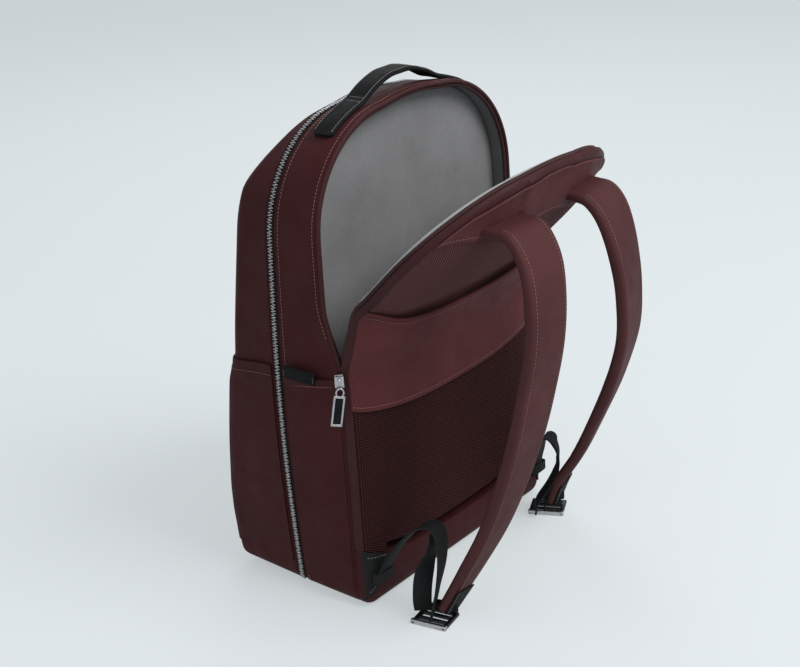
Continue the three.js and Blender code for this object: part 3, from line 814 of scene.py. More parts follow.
# ---- the wall between the back panel and the main zip ------------------------------------------
def make_wall():
    base = arch_loop(0)
    outer_t = np.concatenate([[0, 0.012, 0.04, 0.09], np.linspace(0.16, 0.97, 14), [1.0]])
    inner_t = np.linspace(1, 0, 9)
    loops = {}

    def at(depth, inset, i):
        key = (round(depth, 5), round(inset, 5))
        if key not in loops:
            loops[key] = arch_loop(depth, inset)
        return loops[key][i]

    normals = outward(base)
    rings = []
    for i, (_, z0) in enumerate(base):
        back = float(opening_depth(z0)) if z0 > SPLIT_Z else 0.0
        front = float(zip_depth(z0)) - 5.8 * MM
        ring = []
        for t in outer_t:
            depth = lerp(back, front, t)
            inset = {0: 2.0 * MM, 1: 0.9 * MM, 2: 0.3 * MM}.get(list(outer_t).index(t), 0.0)
            x, z = at(depth, inset, i)
            puff = 1.2 * MM * math.sin(math.pi * t) ** 0.7 if t > 0 else 0
            puff += wobble((x, depth, z), 11, 1.1 * MM) * math.sin(math.pi * t)
            if z0 < 20 * MM:
                puff *= 0.1
            ring.append((x + normals[i][0] * puff, SEAM_Y + depth, max(z + normals[i][1] * puff, 0.2 * MM)))
        for t in inner_t:
            depth = lerp(back, front, t)
            x, z = at(depth, WALL, i)
            ring.append((x, SEAM_Y + depth, z))
        rings.append(ring)
    mats = [0] * (len(outer_t)) + [1] * len(inner_t)
    wall = loft("gusset", rings, ["canvas", "lining"], mats, closed=True)
    finish_piece(wall, "pack_body", "fabric", "gusset_wall")

    # a row of stitching beside the zip, and one beside the opening
    loop = arch_loop(ZIP_DEPTH)
    normals = outward(loop)
    rows = []
    for gap in (9.4 * MM, 62 * MM):
        points, ups = [], []
        for i, (x, z) in enumerate(loop):
            if z < 3 * MM or (gap > 20 * MM and z < SPLIT_Z + 30 * MM):
                continue
            depth = float(zip_depth(z)) - gap if gap < 20 * MM else float(opening_depth(z)) + 4.2 * MM
            px, pz = arch_loop_cached(depth)[i]
            lift = 0.6 * MM if gap < 20 * MM else 1.0 * MM
            points.append((px + normals[i][0] * lift, SEAM_Y + depth, pz + normals[i][1] * lift))
            ups.append((normals[i][0], 0, normals[i][1]))
        rows.append(stitches(f"wall_stitches_{len(rows)}", points, ups))
    finish_piece(join("wall_stitching", rows), "pack_body", "fabric")


loop_store = {}


def arch_loop_cached(depth, inset=0.0):
    key = (round(depth, 4), round(inset, 5))
    if key not in loop_store:
        loop_store[key] = arch_loop(*key)
    return loop_store[key]


# ---- the front shell -----------------------------------------------------------------------------
def shell_depth(z):
    """Depth of the front panel at height z: foot bend, pocket level, upper panel, shoulder."""
    d = HINGE[0]
    r = FRONT_DEPTH - d - 0.5 * MM
    foot = 46 * MM
    if z < foot:
        return d + r * math.sqrt(1 - ((foot - z) / foot) ** 2)
    heights = np.array([46, 60, 87, 140, 206, POCKET_Z / MM, 260, 287, 340, 385, 396, 404, 430, 450, 464]) * MM
    depths = np.array([162.5, 163, 161.5, 154.5, 144.5, 135.5, 133, 130, 124, 119, 118, 114.5, 98.5, 88, 81]) * MM
    return float(np.interp(z, heights, depths))


def smooth_shell_depth(z):
    reach = 5 * MM
    if z <= 30 * MM:
        return shell_depth(max(z, 0.5 * MM))
    return sum(shell_depth(max(z + k * reach / 3, 0.5 * MM)) for k in (-2, -1, 0, 1, 2)) / 5


SHELL_EDGE = 13 * MM                                      # radius of the shell's front edge
SHELL_TAPER = 3 * MM                                      # how far its sides draw in towards the front
SHELL_ROUNDS = [0, 0.3, 1.2, 2.8, 5.2, 8.4, 12.5]         # distance in from the shell's side, mm


def edge_share(z):
    """How much of the front edge's rounding there is at height z: less at the foot and at the crown."""
    return (ease((z - 4 * MM) / (40 * MM)) * 0.85 + 0.15) * (1 - 0.5 * ease((z - 0.43) / 0.03))


def middle_share(x):
    """1 in the middle of the front panel, falling to 0 at its sides."""
    return 1 - min(abs(x) / 0.14, 1) ** 3


def front_dent(x, z):
    return wobble((x, 0.4, z), 9, 1.6 * MM, 3) * middle_share(x)


def make_shell():
    """Rings run from the zip forwards and round the front edge, then a patch fills the front panel."""
    verts, uvs, faces = [], [], []
    m = len(arch_loop(0, 0, ZIP))

    def crown(x, z):
        return middle_share(x) * (2.5 * MM if z > 60 * MM else 0.8 * MM) + front_dent(x, z)

    def drop(e, z):
        t = max(1 - e / SHELL_EDGE, 0)
        return (SHELL_EDGE - math.sqrt(max(SHELL_EDGE * SHELL_EDGE - (SHELL_EDGE * t) ** 2, 0))) * edge_share(z)

    def ring(inset, depth_of):
        start = len(verts)
        for x, z in arch_loop(0, inset, ZIP):
            z = max(z, 0.6 * MM)
            depth = depth_of(x, z)
            verts.append((x, SEAM_Y + max(depth, SHELL_BACK), z))
            uvs.append((x + depth, z))
        return start

    starts = []
    for t in np.linspace(0, 1, 15):
        starts.append(ring(SHELL_TAPER * t + 0.2 * MM,
                           lambda x, z, t=t: lerp(SHELL_BACK, smooth_shell_depth(z) - drop(0, z), t)))
    for e in SHELL_ROUNDS[1:]:
        starts.append(ring(SHELL_TAPER + e * MM,
                           lambda x, z, e=e: smooth_shell_depth(z) - drop(e * MM, z) + crown(x, z)))
    for a, b in zip(starts, starts[1:]):
        for i in range(m):
            j = (i + 1) % m
            faces.append((a + i, a + j, b + j, b + i))
    last = arch_loop(0, SHELL_TAPER + SHELL_ROUNDS[-1] * MM, ZIP)
    n_side = (m - 4 * ACROSS) // 2
    bottom_right = last[:ACROSS + 1]
    right = last[ACROSS:ACROSS + n_side + 1]
    top = last[ACROSS + n_side:3 * ACROSS + n_side + 1][::-1]
    left = right * (-1, 1)
    bottom = np.vstack([bottom_right[::-1] * (-1, 1), bottom_right[1:]])
    grid = patch((bottom, right, top, left))
    base_index = len(verts)
    rows, cols = grid.shape[:2]
    for row in grid:
        for x, z in row:
            z = max(z, 0.6 * MM)
            depth = smooth_shell_depth(z) + crown(x, z) - drop(SHELL_ROUNDS[-1] * MM, z)
            verts.append((x, SEAM_Y + max(depth, SHELL_BACK), z))
            uvs.append((x, z))
    for r in range(rows - 1):
        for c in range(cols - 1):
            a = base_index + r * cols + c
            faces.append((a, a + 1, a + cols + 1, a + cols))
    shell = make("front_case", verts, faces, ["canvas", "lining"], [0] * len(faces), uvs)
    thicken(shell, WALL)
    finish_piece(shell, "front_shell", "fabric", "front_shell")


def thicken(obj, thickness):
    """Gives an open sheet its thickness on the inside, in its second material, and applies it."""
    mod = obj.modifiers.new("thickness", "SOLIDIFY")
    mod.thickness = thickness
    mod.offset = -1
    mod.material_offset = 1
    mod.material_offset_rim = 0
    bpy.context.view_layer.update()
    graph = bpy.context.evaluated_depsgraph_get()
    mesh = bpy.data.meshes.new_from_object(obj.evaluated_get(graph))
    obj.modifiers.clear()
    obj.data = mesh


# ---- main zip: tapes and two rows of metal teeth -------------------------------------------------
def make_main_zip():
    loop = arch_loop_cached(ZIP_DEPTH)
    normals = outward(loop)
    for name, body, node, sign in (("rear", "pack_body", "main_zip_tape_rear", -1),
                                   ("front", "front_shell", "main_zip_tape_front", 1)):
        rings = []
        for i in range(len(loop)):
            nx, nz = normals[i]
            ring = []
            for reach, inset in ((0.3, 1.2), (3.0, 1.0), (6.2, 0.7), (6.2, 2.2), (3.0, 2.6), (0.3, 2.6)):
                z0 = loop[i][1]
                depth = float(zip_depth(z0)) + sign * reach * MM
                if sign > 0:
                    depth = min(depth, SHELL_BACK + 0.6 * MM)
                x, z = arch_loop_cached(round(min(depth, ZIP_DEPTH), 4))[i]
                ring.append((x - nx * inset * MM, SEAM_Y + depth, max(z - nz * inset * MM, 0.4 * MM)))
            rings.append(ring)
        tape = loft(f"zip_tape_{name}", rings, ["zip_tape"], closed=True)
        finish_piece(tape, body, "zip_tape", node)

        path = resample(np.vstack([loop, loop[:1]]), 1600)
        ups = outward(path[:-1])
        run = np.linalg.norm(np.diff(path, axis=0), axis=1).sum()
        pitch = 3.0 * MM
        count = int(run / pitch)
        verts, faces = [], []
        for k in range(count):
            at = (k + (0.5 if sign > 0 else 0.0)) / count * (len(path) - 1)
            i = int(at) % (len(path) - 1)
            (x, z), (nx, nz) = path[i], ups[i]
            if z < 8 * MM:
                continue
            along = np.array([-nz, 0, nx])
            up = np.array([nx, 0, nz])
            forward = np.array([0, sign, 0])
            centre = np.array([x, SEAM_Y + float(zip_depth(z)), z]) + up * 0.5 * MM
            first = len(verts)
            for reach, half, tall in ((-0.9, 0.45, 0.6), (0.1, 0.62, 0.9), (1.9, 0.6, 0.9), (2.8, 0.42, 0.6)):
                for a, b in ((-1, -1), (1, -1), (1, 0.6), (0.55, 1), (-0.55, 1), (-1, 0.6)):
                    verts.append(centre + forward * reach * MM + along * a * half * MM + up * b * tall * MM)
            for r in range(3):
                for c in range(6):
                    d = (c + 1) % 6
                    a, b = first + r * 6, first + (r + 1) * 6
                    faces.append((a + c, a + d, b + d, b + c))
            faces.append(tuple(first + c for c in range(6)))
            faces.append(tuple(first + 18 + c for c in range(6)))
        teeth = make(f"zip_teeth_{name}", verts, faces, ["zip_metal"], uvs=[(v[0], v[2]) for v in verts], sharp=30)
        finish_piece(teeth, body, "zip_metal")


# ---- back panel: base band, mesh padding, hinged flap ---------------------------------------------
def band_top(x):
    return (41 + 20 * min(abs(x) / 0.145, 1) ** 3) * MM


def sleeve_low(x):
    return (190 + 18 * (abs(x) / 0.145) ** 2.6) * MM


def sleeve_high(x):
    return (295 + 24 * (abs(x) / 0.145) ** 3) * MM


YOKE_HALF = 141.5 * MM


def yoke_low(x):
    from_strap = abs(abs(x) - 59 * MM) / (40 * MM)
    dip = math.cos(min(from_strap, 1) * math.pi / 2) ** 2
    return (426 - 10 * (abs(x) / YOKE_HALF) ** 2 - 7 * dip) * MM


def yoke_high(x):
    return (468.5 - 24 * (abs(x) / YOKE_HALF) ** 4) * MM


PANEL_INSETS = [v * MM for v in (0.5, 0.7, 1.3, 2.5, 4.4, 7.0, 10.0, 13.0, 20.0, 30.0)]


def inner_depth(x, z, e):
    return 0.2 * MM - 0.6 * MM * (1 - min(e / (3 * MM), 1))


def make_back_panel():
    band_outline = base_outline()
    band = slab("base_band", band_outline, [v * MM for v in (0.5, 0.8, 1.6, 3, 5, 7.5, 10, 13)],
                lambda x, z, e: face_depth(x, z, e), inner_depth, ["canvas"])
    finish_piece(band, "pack_body", "fabric", "back_base_band")

    lower = slab("back_padding", lambda e: panel_outline(e, band_top, lambda x: JOIN_Z),
                 PANEL_INSETS, face_depth, inner_depth, ["binding", "mesh", "lining"],
                 edge_mat=0, front_mat=1, back_mat=2, edge_rings=3, bend=opened)
    finish_piece(lower, blend_a, "padded_mesh", "back_pad_lower", "flap_pad_lower")

    upper = slab("flap_padding", lambda e: panel_outline(e, lambda x: JOIN_Z, None),
                 PANEL_INSETS, face_depth, inner_depth, ["binding", "rib_mesh", "lining"],
                 edge_mat=0, front_mat=1, back_mat=2, edge_rings=5, bend=opened)
    finish_piece(upper, blend_b, "padded_mesh", "flap_pad_upper")


def base_outline():
    """The band's outline follows the rounded foot of the arch and ends in its curved top seam."""
    def outline(inset):
        path = side_path(BACK, inset)
        keep = path[path[:, 1] < band_top(BACK["half"]) - 2 * MM]
        right = np.vstack([keep, [BACK["half"] - inset, band_top(BACK["half"]) + 0.9 * MM - inset]])
        left = right * (-1, 1)
        x = np.linspace(-right[0, 0], right[0, 0], 2 * ACROSS + 1)
        bottom = np.stack([x, np.full_like(x, max(inset, 0.5 * MM))], axis=1)
        x = np.linspace(-right[-1, 0], right[-1, 0], 2 * ACROSS + 1)
        top = np.stack([x, [band_top(v) + 0.9 * MM - inset for v in x]], axis=1)
        return bottom, right, top, left
    return outline


def over_panel(x, z, lift):
    return SEAM_Y + face_depth(x, z, min_edge(x, z)) - lift


def skin_piece(name, low, high, half, lift_of, thick, look, rows):
    """A cloth panel lying over the back padding between two curves."""
    cols = 2 * ACROSS
    verts, uvs = [], []
    for layer in (0, 1):
        for r in range(rows + 1):
            for c in range(cols + 1):
                s = c / cols * 2 - 1
                z = lerp(low(s * half), high(s * half), r / rows)
                x = s * half_at(z, half)
                lift = lift_of(x, z) + thick * (1 - layer)
                verts.append((x, over_panel(x, z, lift), z))
                uvs.append((x, z))
    return make(name, opened(np.array(verts)), sheet_faces(rows, cols), [look], uvs=uvs)


def half_at(z, half):
    """Half width of a panel at height z that keeps its margin to the arch's side."""
    margin = BACK["half"] - half
    path = side_path(BACK, margin, low=60 * MM)
    return float(np.interp(z, path[:, 1], path[:, 0]))


def make_sleeve():
    """The trolley sleeve: sewn at both sides, standing a little off the padding in the middle."""
    def lift(x, z):
        away = 1 - min(abs(x) / 0.138, 1) ** 4
        return 0.6 * MM + away * (2.6 * MM + 2.2 * MM * ease((z - 0.24) / 0.06))
    half = 143.2 * MM
    lower = skin_piece("sleeve_lower", sleeve_low, lambda x: JOIN_Z, half, lift, 1.6 * MM, "panel_canvas_painted_light", 30)
    finish_piece(lower, blend_a, "fabric", "trolley_sleeve_lower", "trolley_sleeve_upper")
    upper = skin_piece("sleeve_upper", lambda x: JOIN_Z, sleeve_high, half, lift, 1.6 * MM, "panel_canvas_painted_light", 16)
    finish_piece(upper, blend_b, "fabric")
    # rolled top hem and stitching along the bottom
    x = np.linspace(-half, half, 90)
    z = [sleeve_high(v) for v in x]
    hem = np.array([(v, over_panel(v, h, lift(v, h) + 1.0 * MM), h) for v, h in zip(x, z)])
    hem = tube("sleeve_hem", opened(hem), 1.7 * MM, "panel_canvas_painted_light", hint=(0, 1, 0))
    finish_piece(hem, blend_b, "fabric")
    z = np.array([sleeve_low(v) + 4 * MM for v in x])
    low = np.array([(v, over_panel(v, h, lift(v, h) + 1.75 * MM), h) for v, h in zip(x, z)])
    row = stitches("sleeve_stitching", opened(low), [(0, -1, 0)] * len(low))
    finish_piece(row, "pack_body", "fabric")
    z = np.array([sleeve_high(v) - 6 * MM for v in x])
    high = np.array([(v, over_panel(v, h, lift(v, h) + 1.75 * MM), h) for v, h in zip(x, z)])
    row = stitches("sleeve_top_stitching", opened(high), [(0, -0.8, -0.6)] * len(high))
    finish_piece(row, blend_b, "fabric")


def make_yoke():
    yoke = skin_piece("yoke", yoke_low, yoke_high, YOKE_HALF, lambda x, z: 0.5 * MM, 1.6 * MM, "yoke_canvas_painted_light", 20)
    x = np.linspace(-YOKE_HALF, YOKE_HALF, 120)
    row = []
    for v in x:
        z = yoke_low(v) + 4 * MM
        px = v / YOKE_HALF * half_at(z, YOKE_HALF)
        row.append((px, over_panel(px, z, 2.2 * MM), z))
    yoke = join("yoke_panel", [yoke, stitches("yoke_row", opened(row), [(0, -0.7, -0.7)] * len(row))])
    finish_piece(yoke, "flap_upper", "fabric", "flap_yoke")


def make_flap_lining():
    """The grey padded inner face of the flap, and the coil of its zip."""
    def inner_face(x, z, e):
        inside = e - 8.5 * MM
        away = ease((z - 0.27) / 0.08) * ease(min_edge(x, z) / (50 * MM))
        return 1.2 * MM + edge_round(inside, 9 * MM, 6.5 * MM) + 6 * MM * away

    def under(x, z, e):
        return 0.3 * MM

    insets = [v * MM for v in (8.5, 8.7, 9.4, 10.8, 13, 16, 19, 24, 32)]
    lower = slab("flap_lining_low", lambda e: panel_outline(e, lambda x: 247 * MM, lambda x: JOIN_Z),
                 insets, under, inner_face, ["pale_lining"], bend=opened)
    finish_piece(lower, blend_a, "lining", "flap_lining_lower")
    upper = slab("flap_lining_high", lambda e: panel_outline(e, lambda x: JOIN_Z, None),
                 insets, under, inner_face, ["pale_lining"], bend=opened)
    finish_piece(upper, blend_b, "lining", "flap_lining_upper")

    for name, low, high, blend, node in (
            ("flap_coil_low", 240 * MM, JOIN_Z, blend_a, ("flap_zip_tape_right", "flap_zip_tape_left")),
            ("flap_coil_high", JOIN_Z, None, blend_b, ("flap_zip_tape_upper",))):
        parts = []
        _, right, top, left = panel_outline(4.6 * MM, lambda x: low, (lambda x: high) if high else None)
        runs = [right, left] if high else [np.vstack([right, top[::-1][1:-1], left[::-1]])]
        for k, run in enumerate(runs):
            parts.append(coil(f"{name}_{k}", run, 2.6 * MM))
        finish_piece(join(name, parts), blend, "zip_tape", *node)


def coil(name, run, depth):
    """A zip coil along an (x, z) run at one depth."""
    length = np.linalg.norm(np.diff(run, axis=0), axis=1).sum()
    path = resample(run, max(int(length / (0.6 * MM)), 8))
    points = np.stack([path[:, 0], np.full(len(path), SEAM_Y + depth), path[:, 1]], axis=1)
    _, across, out = frames_along(points, (0, 1, 0))
    rings = []
    for k in range(len(points)):
        grow = 1.0 if k % 3 else 0.72
        ring = []
        for a in np.linspace(0, 2 * math.pi, 8, endpoint=False):
            ring.append(opened([points[k] + across[k] * math.cos(a) * 2.4 * MM * grow
                                + out[k] * math.sin(a) * 1.5 * MM * grow])[0])
        rings.append(ring)
    return loft(name, rings, ["coil"])


# ---- opening of the laptop compartment -------------------------------------------------------------
def make_opening():
    """Piping and zip coil round the free edge of the wall."""
    loop = arch_loop(0)
    keep = [i for i in range(len(loop)) if loop[i][1] > SPLIT_Z + 6 * MM]

    def run(inset, back):
        points = []
        for i in keep:
            depth = max(float(opening_depth(loop[i][1])) - back, -3 * MM)
            x, z = arch_loop_cached(round(max(depth, 0), 4), inset)[i]
            points.append((x, SEAM_Y + depth, z))
        return np.array(points)

    piping = tube("opening_piping", run(1.6 * MM, 0.4 * MM), 1.9 * MM, "binding", hint=(0, 1, 0))
    finish_piece(piping, "pack_body", "fabric")
    points = resample(run(5.0 * MM, -1.2 * MM), 1400)
    _, across, out = frames_along(points, (0, 1, 0))
    rings = []
    for k in range(len(points)):
        grow = 1.0 if k % 3 else 0.75
        rings.append([points[k] + across[k] * math.cos(a) * 2.0 * MM * grow + out[k] * math.sin(a) * 1.4 * MM * grow
                      for a in np.linspace(0, 2 * math.pi, 8, endpoint=False)])
    finish_piece(loft("opening_coil", rings, ["coil"]), "pack_body", "zip_tape", "opening_zip_tape")


# ---- inside: divider, floor pad, back sheet ---------------------------------------------------------
def make_inside():
    low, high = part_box("laptop_divider")
    middle = (low[1] + high[1]) / 2 - SEAM_Y
    half_thick = (high[1] - low[1]) / 2

    def outline(inset):
        right = side_path(shape_at(middle), inset + WALL + 1.2 * MM)
        left = right * (-1, 1)
        x = np.linspace(-right[0, 0], right[0, 0], 2 * ACROSS + 1)
        bottom = np.stack([x, np.full_like(x, right[0, 1])], axis=1)
        return bottom, right, crown_path(shape_at(middle), inset + WALL + 1.2 * MM)[::-1], left

    def front(x, z, e):
        quilt = 0.8 * MM * abs(math.sin(x * math.pi / 0.07)) ** 0.5 * ease(e / (12 * MM))
        return middle - half_thick * 0.6 - edge_round(e, 5 * MM, half_thick * 0.4) - quilt

    def back(x, z, e):
        return middle + half_thick * 0.6 + edge_round(e, 5 * MM, half_thick * 0.4)

    divider = slab("divider", outline, [v * MM for v in (0, 0.5, 1.5, 3, 5, 8, 14)], front, back, ["lining"])
    finish_piece(divider, "pack_body", "lining", "laptop_divider")
    for node in ("laptop_floor_pad", "back_frame_sheet"):
        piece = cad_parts[node]
        piece.data.materials.clear()
        piece.data.materials.append(looks["lining"])


make_wall()
make_shell()
make_main_zip()
make_back_panel()
make_sleeve()
make_yoke()
make_flap_lining()
make_opening()
make_inside()


# ---- shoulder straps ---------------------------------------------------------------------------
def at_depth(points):
    """(x, depth, z) in millimetres to a point in the frame."""
    points = np.asarray(points, float) * MM
    return points + (0, SEAM_Y, 0)


STRAP_PATHS = {
    "right": [(-59, -112, 378), (-59, -131, 377.5), (-61, -150, 374), (-66, -167, 351), (-71, -174, 318),
              (-75, -174, 281), (-80, -168, 239), (-83.5, -158.5, 196), (-87.5, -144, 148), (-94.5, -126.5, 100),
              (-104, -105, 55), (-115, -84, 13)],
    "left": [(59, -112, 379), (59, -131, 378), (61, -146, 374), (64, -158, 356), (68, -166, 322),
             (75, -167, 281), (85.5, -159, 232), (94.5, -138, 178), (102.5, -112, 126), (108.5, -86, 78),
             (113, -62, 42), (116, -49, 14)],
}
STRAP_FLATS = {
    "right": [(1, 0, 0), (1, 0, 0)],
    "left": [(1, 0, 0), (0.97, 0.22, 0), (0.95, 0.3, 0), (0.95, 0.3, 0), (0.95, 0.2, 0)],
}
STRAP_WIDTHS = [56, 55, 54, 54, 53, 50, 45, 38, 26]
STRAP_STEPS = 150
STRAP_ROOT, STRAP_FREE = 8, 26              # steps at which the strap leaves the flap and reaches its own body; finish_piece does not use them


def strap_section(width, thick):
    """A padded strip with bound, rounded edges: (across, out) points and which of them are underneath."""
    half, t = width / 2, thick / 2
    edge = min(5.5 * MM, half * 0.5)
    outer = []
    for a in np.linspace(-math.pi / 2, math.pi / 2, 9):
        outer.append((half - edge * 0.55 + edge * 0.55 * math.cos(a), t * 0.92 * math.sin(a)))
    top = [(half * s, t * (1.0 + 0.10 * (1 - s * s)) - (0.5 * MM if 0.74 < abs(s) < 0.8 else 0))
           for s in np.linspace(0.84, -0.84, 24)]
    back = [(-x, -y) for x, y in outer]
    under = [(half * s, -t * (1.0 + 0.06 * (1 - s * s))) for s in np.linspace(-0.84, 0.84, 24)]
    points = outer + top + back + under
    mats = [0] * (len(outer) + len(top) + len(back)) + [1] * len(under)
    return np.array(points), mats


def make_straps():
    for side, s in sides:
        path = catmull(at_depth(STRAP_PATHS[side]), STRAP_STEPS)
        flats = spread(STRAP_FLATS[side], STRAP_STEPS)
        flats /= np.linalg.norm(flats, axis=1)[:, None]
        widths = spread(STRAP_WIDTHS, STRAP_STEPS) * MM
        thicks = spread([8, 10, 11, 11, 11, 11, 10.5, 10, 9], STRAP_STEPS) * MM
        _, across, out = frames_along(path, flats)
        rings = []
        for k in range(STRAP_STEPS):
            section, mats = strap_section(widths[k], thicks[k])
            lump = 1 + wobble(path[k], 18, 0.05, 5 + s)
            rings.append([path[k] + across[k] * a + out[k] * b * lump for a, b in section])
        strap = loft(f"strap_{side}", rings, ["strap_canvas_painted_light", "mesh"], mats)
        root, later = path[STRAP_ROOT], path[STRAP_FREE]
        finish_piece(strap, ("flap_upper", f"strap_{side}", tuple(root), tuple(later)), "padded_mesh",
                     f"shoulder_strap_{side}")

        # a row of stitching along each edge, on the outer face
        rows = []
        for edge in (-1, 1):
            lift = thicks / 2 * 1.03 + 0.1 * MM
            row = path + across * (edge * (widths / 2 - 6.2 * MM))[:, None] + out * lift[:, None]
            rows.append(stitches(f"strap_row_{side}_{edge}", row[10:-6], out[10:-6]))
        seam = join(f"strap_stitching_{side}", rows)
        finish_piece(seam, ("flap_upper", f"strap_{side}", tuple(root), tuple(later)), "padded_mesh")

        # leather patch folded over the outer side of the strap's end
        span = range(STRAP_STEPS - 11, STRAP_STEPS)
        rings = []
        for k in span:
            w = widths[k] / 2 - 1.6 * MM
            lift = thicks[k] / 2 * 1.1
            rings.append([path[k] + across[k] * a + out[k] * (lift + b) for a, b in
                          ((-w, 0.1 * MM), (-w, 1.3 * MM), (-w * 0.8, 1.7 * MM), (w * 0.8, 1.7 * MM),
                           (w, 1.3 * MM), (w, 0.1 * MM))])
        patch_piece = loft(f"strap_patch_{side}", rings, ["leather"])
        outline_rows = []
        for edge in (-1, 1):
            row = np.array([path[k] + across[k] * edge * (widths[k] / 2 - 3.4 * MM)
                            + out[k] * (thicks[k] / 2 * 1.1 + 1.75 * MM) for k in span])
            outline_rows.append(stitches(f"patch_row_{edge}", row, out[list(span)], look="pale_thread"))
        whole = join(f"strap_end_{side}", [patch_piece] + outline_rows)
        finish_piece(whole, f"strap_{side}", "leather", f"strap_patch_{side}")


# ---- carry handle ----------------------------------------------------------------------------------
def over_crown(x, lift, depth):
    """The point at x over the arch's top edge, lifted off it by lift."""
    shape = shape_at(depth)
    flat_half = shape["half"] - shape["corner"]
    shoulder = shape["top"] - shape["crown"] - shape["corner"]
    beyond = max(abs(x) - flat_half, 0)
    rise = math.sqrt(shape["corner"] ** 2 - beyond ** 2)
    dome = 0 if beyond > 0 else shape["crown"] * (1 - (x / flat_half) ** 2)
    z = shoulder + rise + dome + lift * rise / shape["corner"]
    return (x + math.copysign(lift * beyond / shape["corner"], x), SEAM_Y + depth, z)


def make_handle():
    low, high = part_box("carry_handle")
    depth = (low[1] + high[1]) / 2 - SEAM_Y
    width = high[1] - low[1]
    top = high[2] + 0.2 * MM
    half = [(0, SEAM_Y + depth, top), (16 * MM, SEAM_Y + depth, top - 0.8 * MM),
            (36 * MM, SEAM_Y + depth, top - 7 * MM), over_crown(53 * MM, 6.0 * MM, depth),
            over_crown(68 * MM, 3.8 * MM, depth), over_crown(86 * MM, 3.3 * MM, depth),
            over_crown(100 * MM, 3.2 * MM, depth)]
    path = np.array([(-x, y, z) for x, y, z in half[:0:-1]] + half)
    path = catmull(path, 110)
    _, across, out = frames_along(path, (0, 1, 0))
    rings = []
    for k in range(len(path)):
        t = abs(k / (len(path) - 1) - 0.5) * 2
        w = width / 2
        thick = 1.9 * MM
        if t > 0.97:
            w *= 1 - 0.3 * ((t - 0.97) / 0.03) ** 2
        bow = 0.5 * MM * (1 - ease((t - 0.5) / 0.3))
        section = [(-w, -thick * 0.4 - bow), (-w, thick * 0.4 - bow), (-w + 1.2 * MM, thick - bow * 0.8),
                   (-w * 0.5, thick), (0, thick + 0.2 * MM), (w * 0.5, thick), (w - 1.2 * MM, thick - bow * 0.8),
                   (w, thick * 0.4 - bow), (w, -thick * 0.4 - bow), (w - 1.2 * MM, -thick - bow), (0, -thick),
                   (-w + 1.2 * MM, -thick - bow)]
        rings.append([path[k] + across[k] * a + out[k] * b for a, b in section])
    strap = loft("handle_strap", rings, ["leather"])
    face = 1 if out[len(path) // 2][2] > 0 else -1
    rows = []
    for edge in (-1, 1):
        row = path + across * edge * (width / 2 - 2.2 * MM) + out * face * 1.95 * MM
        rows.append(stitches(f"handle_row_{edge}", row[2:-2], out[2:-2] * face, look="pale_thread", pitch=3.0 * MM))
    for x in (-53 * MM, 53 * MM, -57 * MM, 57 * MM):
        k = int(np.argmin(np.abs(path[:, 0] - x)))
        bar = np.linspace(-1, 1, 30)[:, None] * across[k] * (width / 2 - 3 * MM)
        bar = path[k] + bar + out[k] * face * 2.1 * MM
        rows.append(stitches(f"handle_bar_{x:.3f}", bar, [out[k] * face] * 30, look="pale_thread", pitch=2.6 * MM))
    finish_piece(join("handle", [strap] + rows), "pack_body", "leather", "carry_handle")
    for side, s in sides:
        x = np.linspace(72, 99, 22) * MM * s
        rings = []
        for v in x:
            rings.append([over_crown(v, lift, depth + d) for d, lift in
                          ((-11 * MM, 0.2 * MM), (-11 * MM, 1.0 * MM), (-10 * MM, 1.4 * MM), (10 * MM, 1.4 * MM),
                           (11 * MM, 1.0 * MM), (11 * MM, 0.2 * MM))])
        finish_piece(loft(f"handle_base_{side}", rings, ["leather"]), "pack_body", "leather", f"handle_patch_{side}")


# ---- webbing and ladder-lock buckles ------------------------------------------------------------------
WEB_PATHS = {
    "right": [(-128, -20, 34), (-127, -24, 45), (-123, -39, 70), (-120, -58, 91), (-119, -73, 99),
              (-119.5, -82, 96), (-120, -86, 84), (-121, -85, 62), (-122.5, -80, 36), (-124, -75, 14), (-125, -73, 4)],
    "left": [(128, -20, 34), (126, -22, 45), (121, -30, 64), (116, -39, 80), (113, -50, 83), (111, -59, 71),
             (108, -60, 56), (102, -53, 36), (96, -42, 16), (96, -40, 4)],
}
WEB_FLATS = {
    "right": [(1, 0, 0), (1, 0, 0), (1, 0, 0), (1, 0.05, 0), (1, 0.2, 0), (0.95, 0.45, 0), (0.95, 0.45, 0)],
    "left": [(1, 0, 0), (1, 0, 0), (1, 0.3, 0), (0.85, 0.5, 0), (0.77, 0.64, 0), (0.77, 0.64, 0), (0.8, 0.5, 0)],
}
TAIL_PATHS = {
    "right": [(-121, -60, 4.4), (-121, -59, 16), (-121.5, -62, 38), (-121, -68, 60), (-119.5, -76, 80),
              (-119, -78, 93)],
    "left": [(107, -44, 5), (108, -45, 14), (110, -51, 34), (111.5, -57, 50), (112, -58, 62)],
}
TAIL_FLATS = {
    "right": [(0.45, -0.9, 0), (0.5, -0.87, 0), (0.8, -0.6, 0), (1, 0, 0), (1, 0, 0)],
    "left": [(0.8, 0.5, 0), (0.77, 0.64, 0), (0.77, 0.64, 0)],
}


def web(name, path_points, flats, width, thick, steps=90):
    """A run of webbing; flats gives the direction of its width at even steps."""
    path = catmull(at_depth(path_points), steps)
    across_hint = spread(flats, steps)
    _, across, out = frames_along(path, across_hint)
    rings = []
    w, t = width / 2, thick / 2
    section = [(-w, -t * 0.5), (-w, t * 0.5), (-w + 0.8 * MM, t), (-w * 0.4, t), (w * 0.4, t), (w - 0.8 * MM, t),
               (w, t * 0.5), (w, -t * 0.5), (w - 0.8 * MM, -t), (-w + 0.8 * MM, -t)]
    for k in range(steps):
        rings.append([path[k] + across[k] * a + out[k] * b for a, b in section])
    return loft(name, rings, ["webbing"])


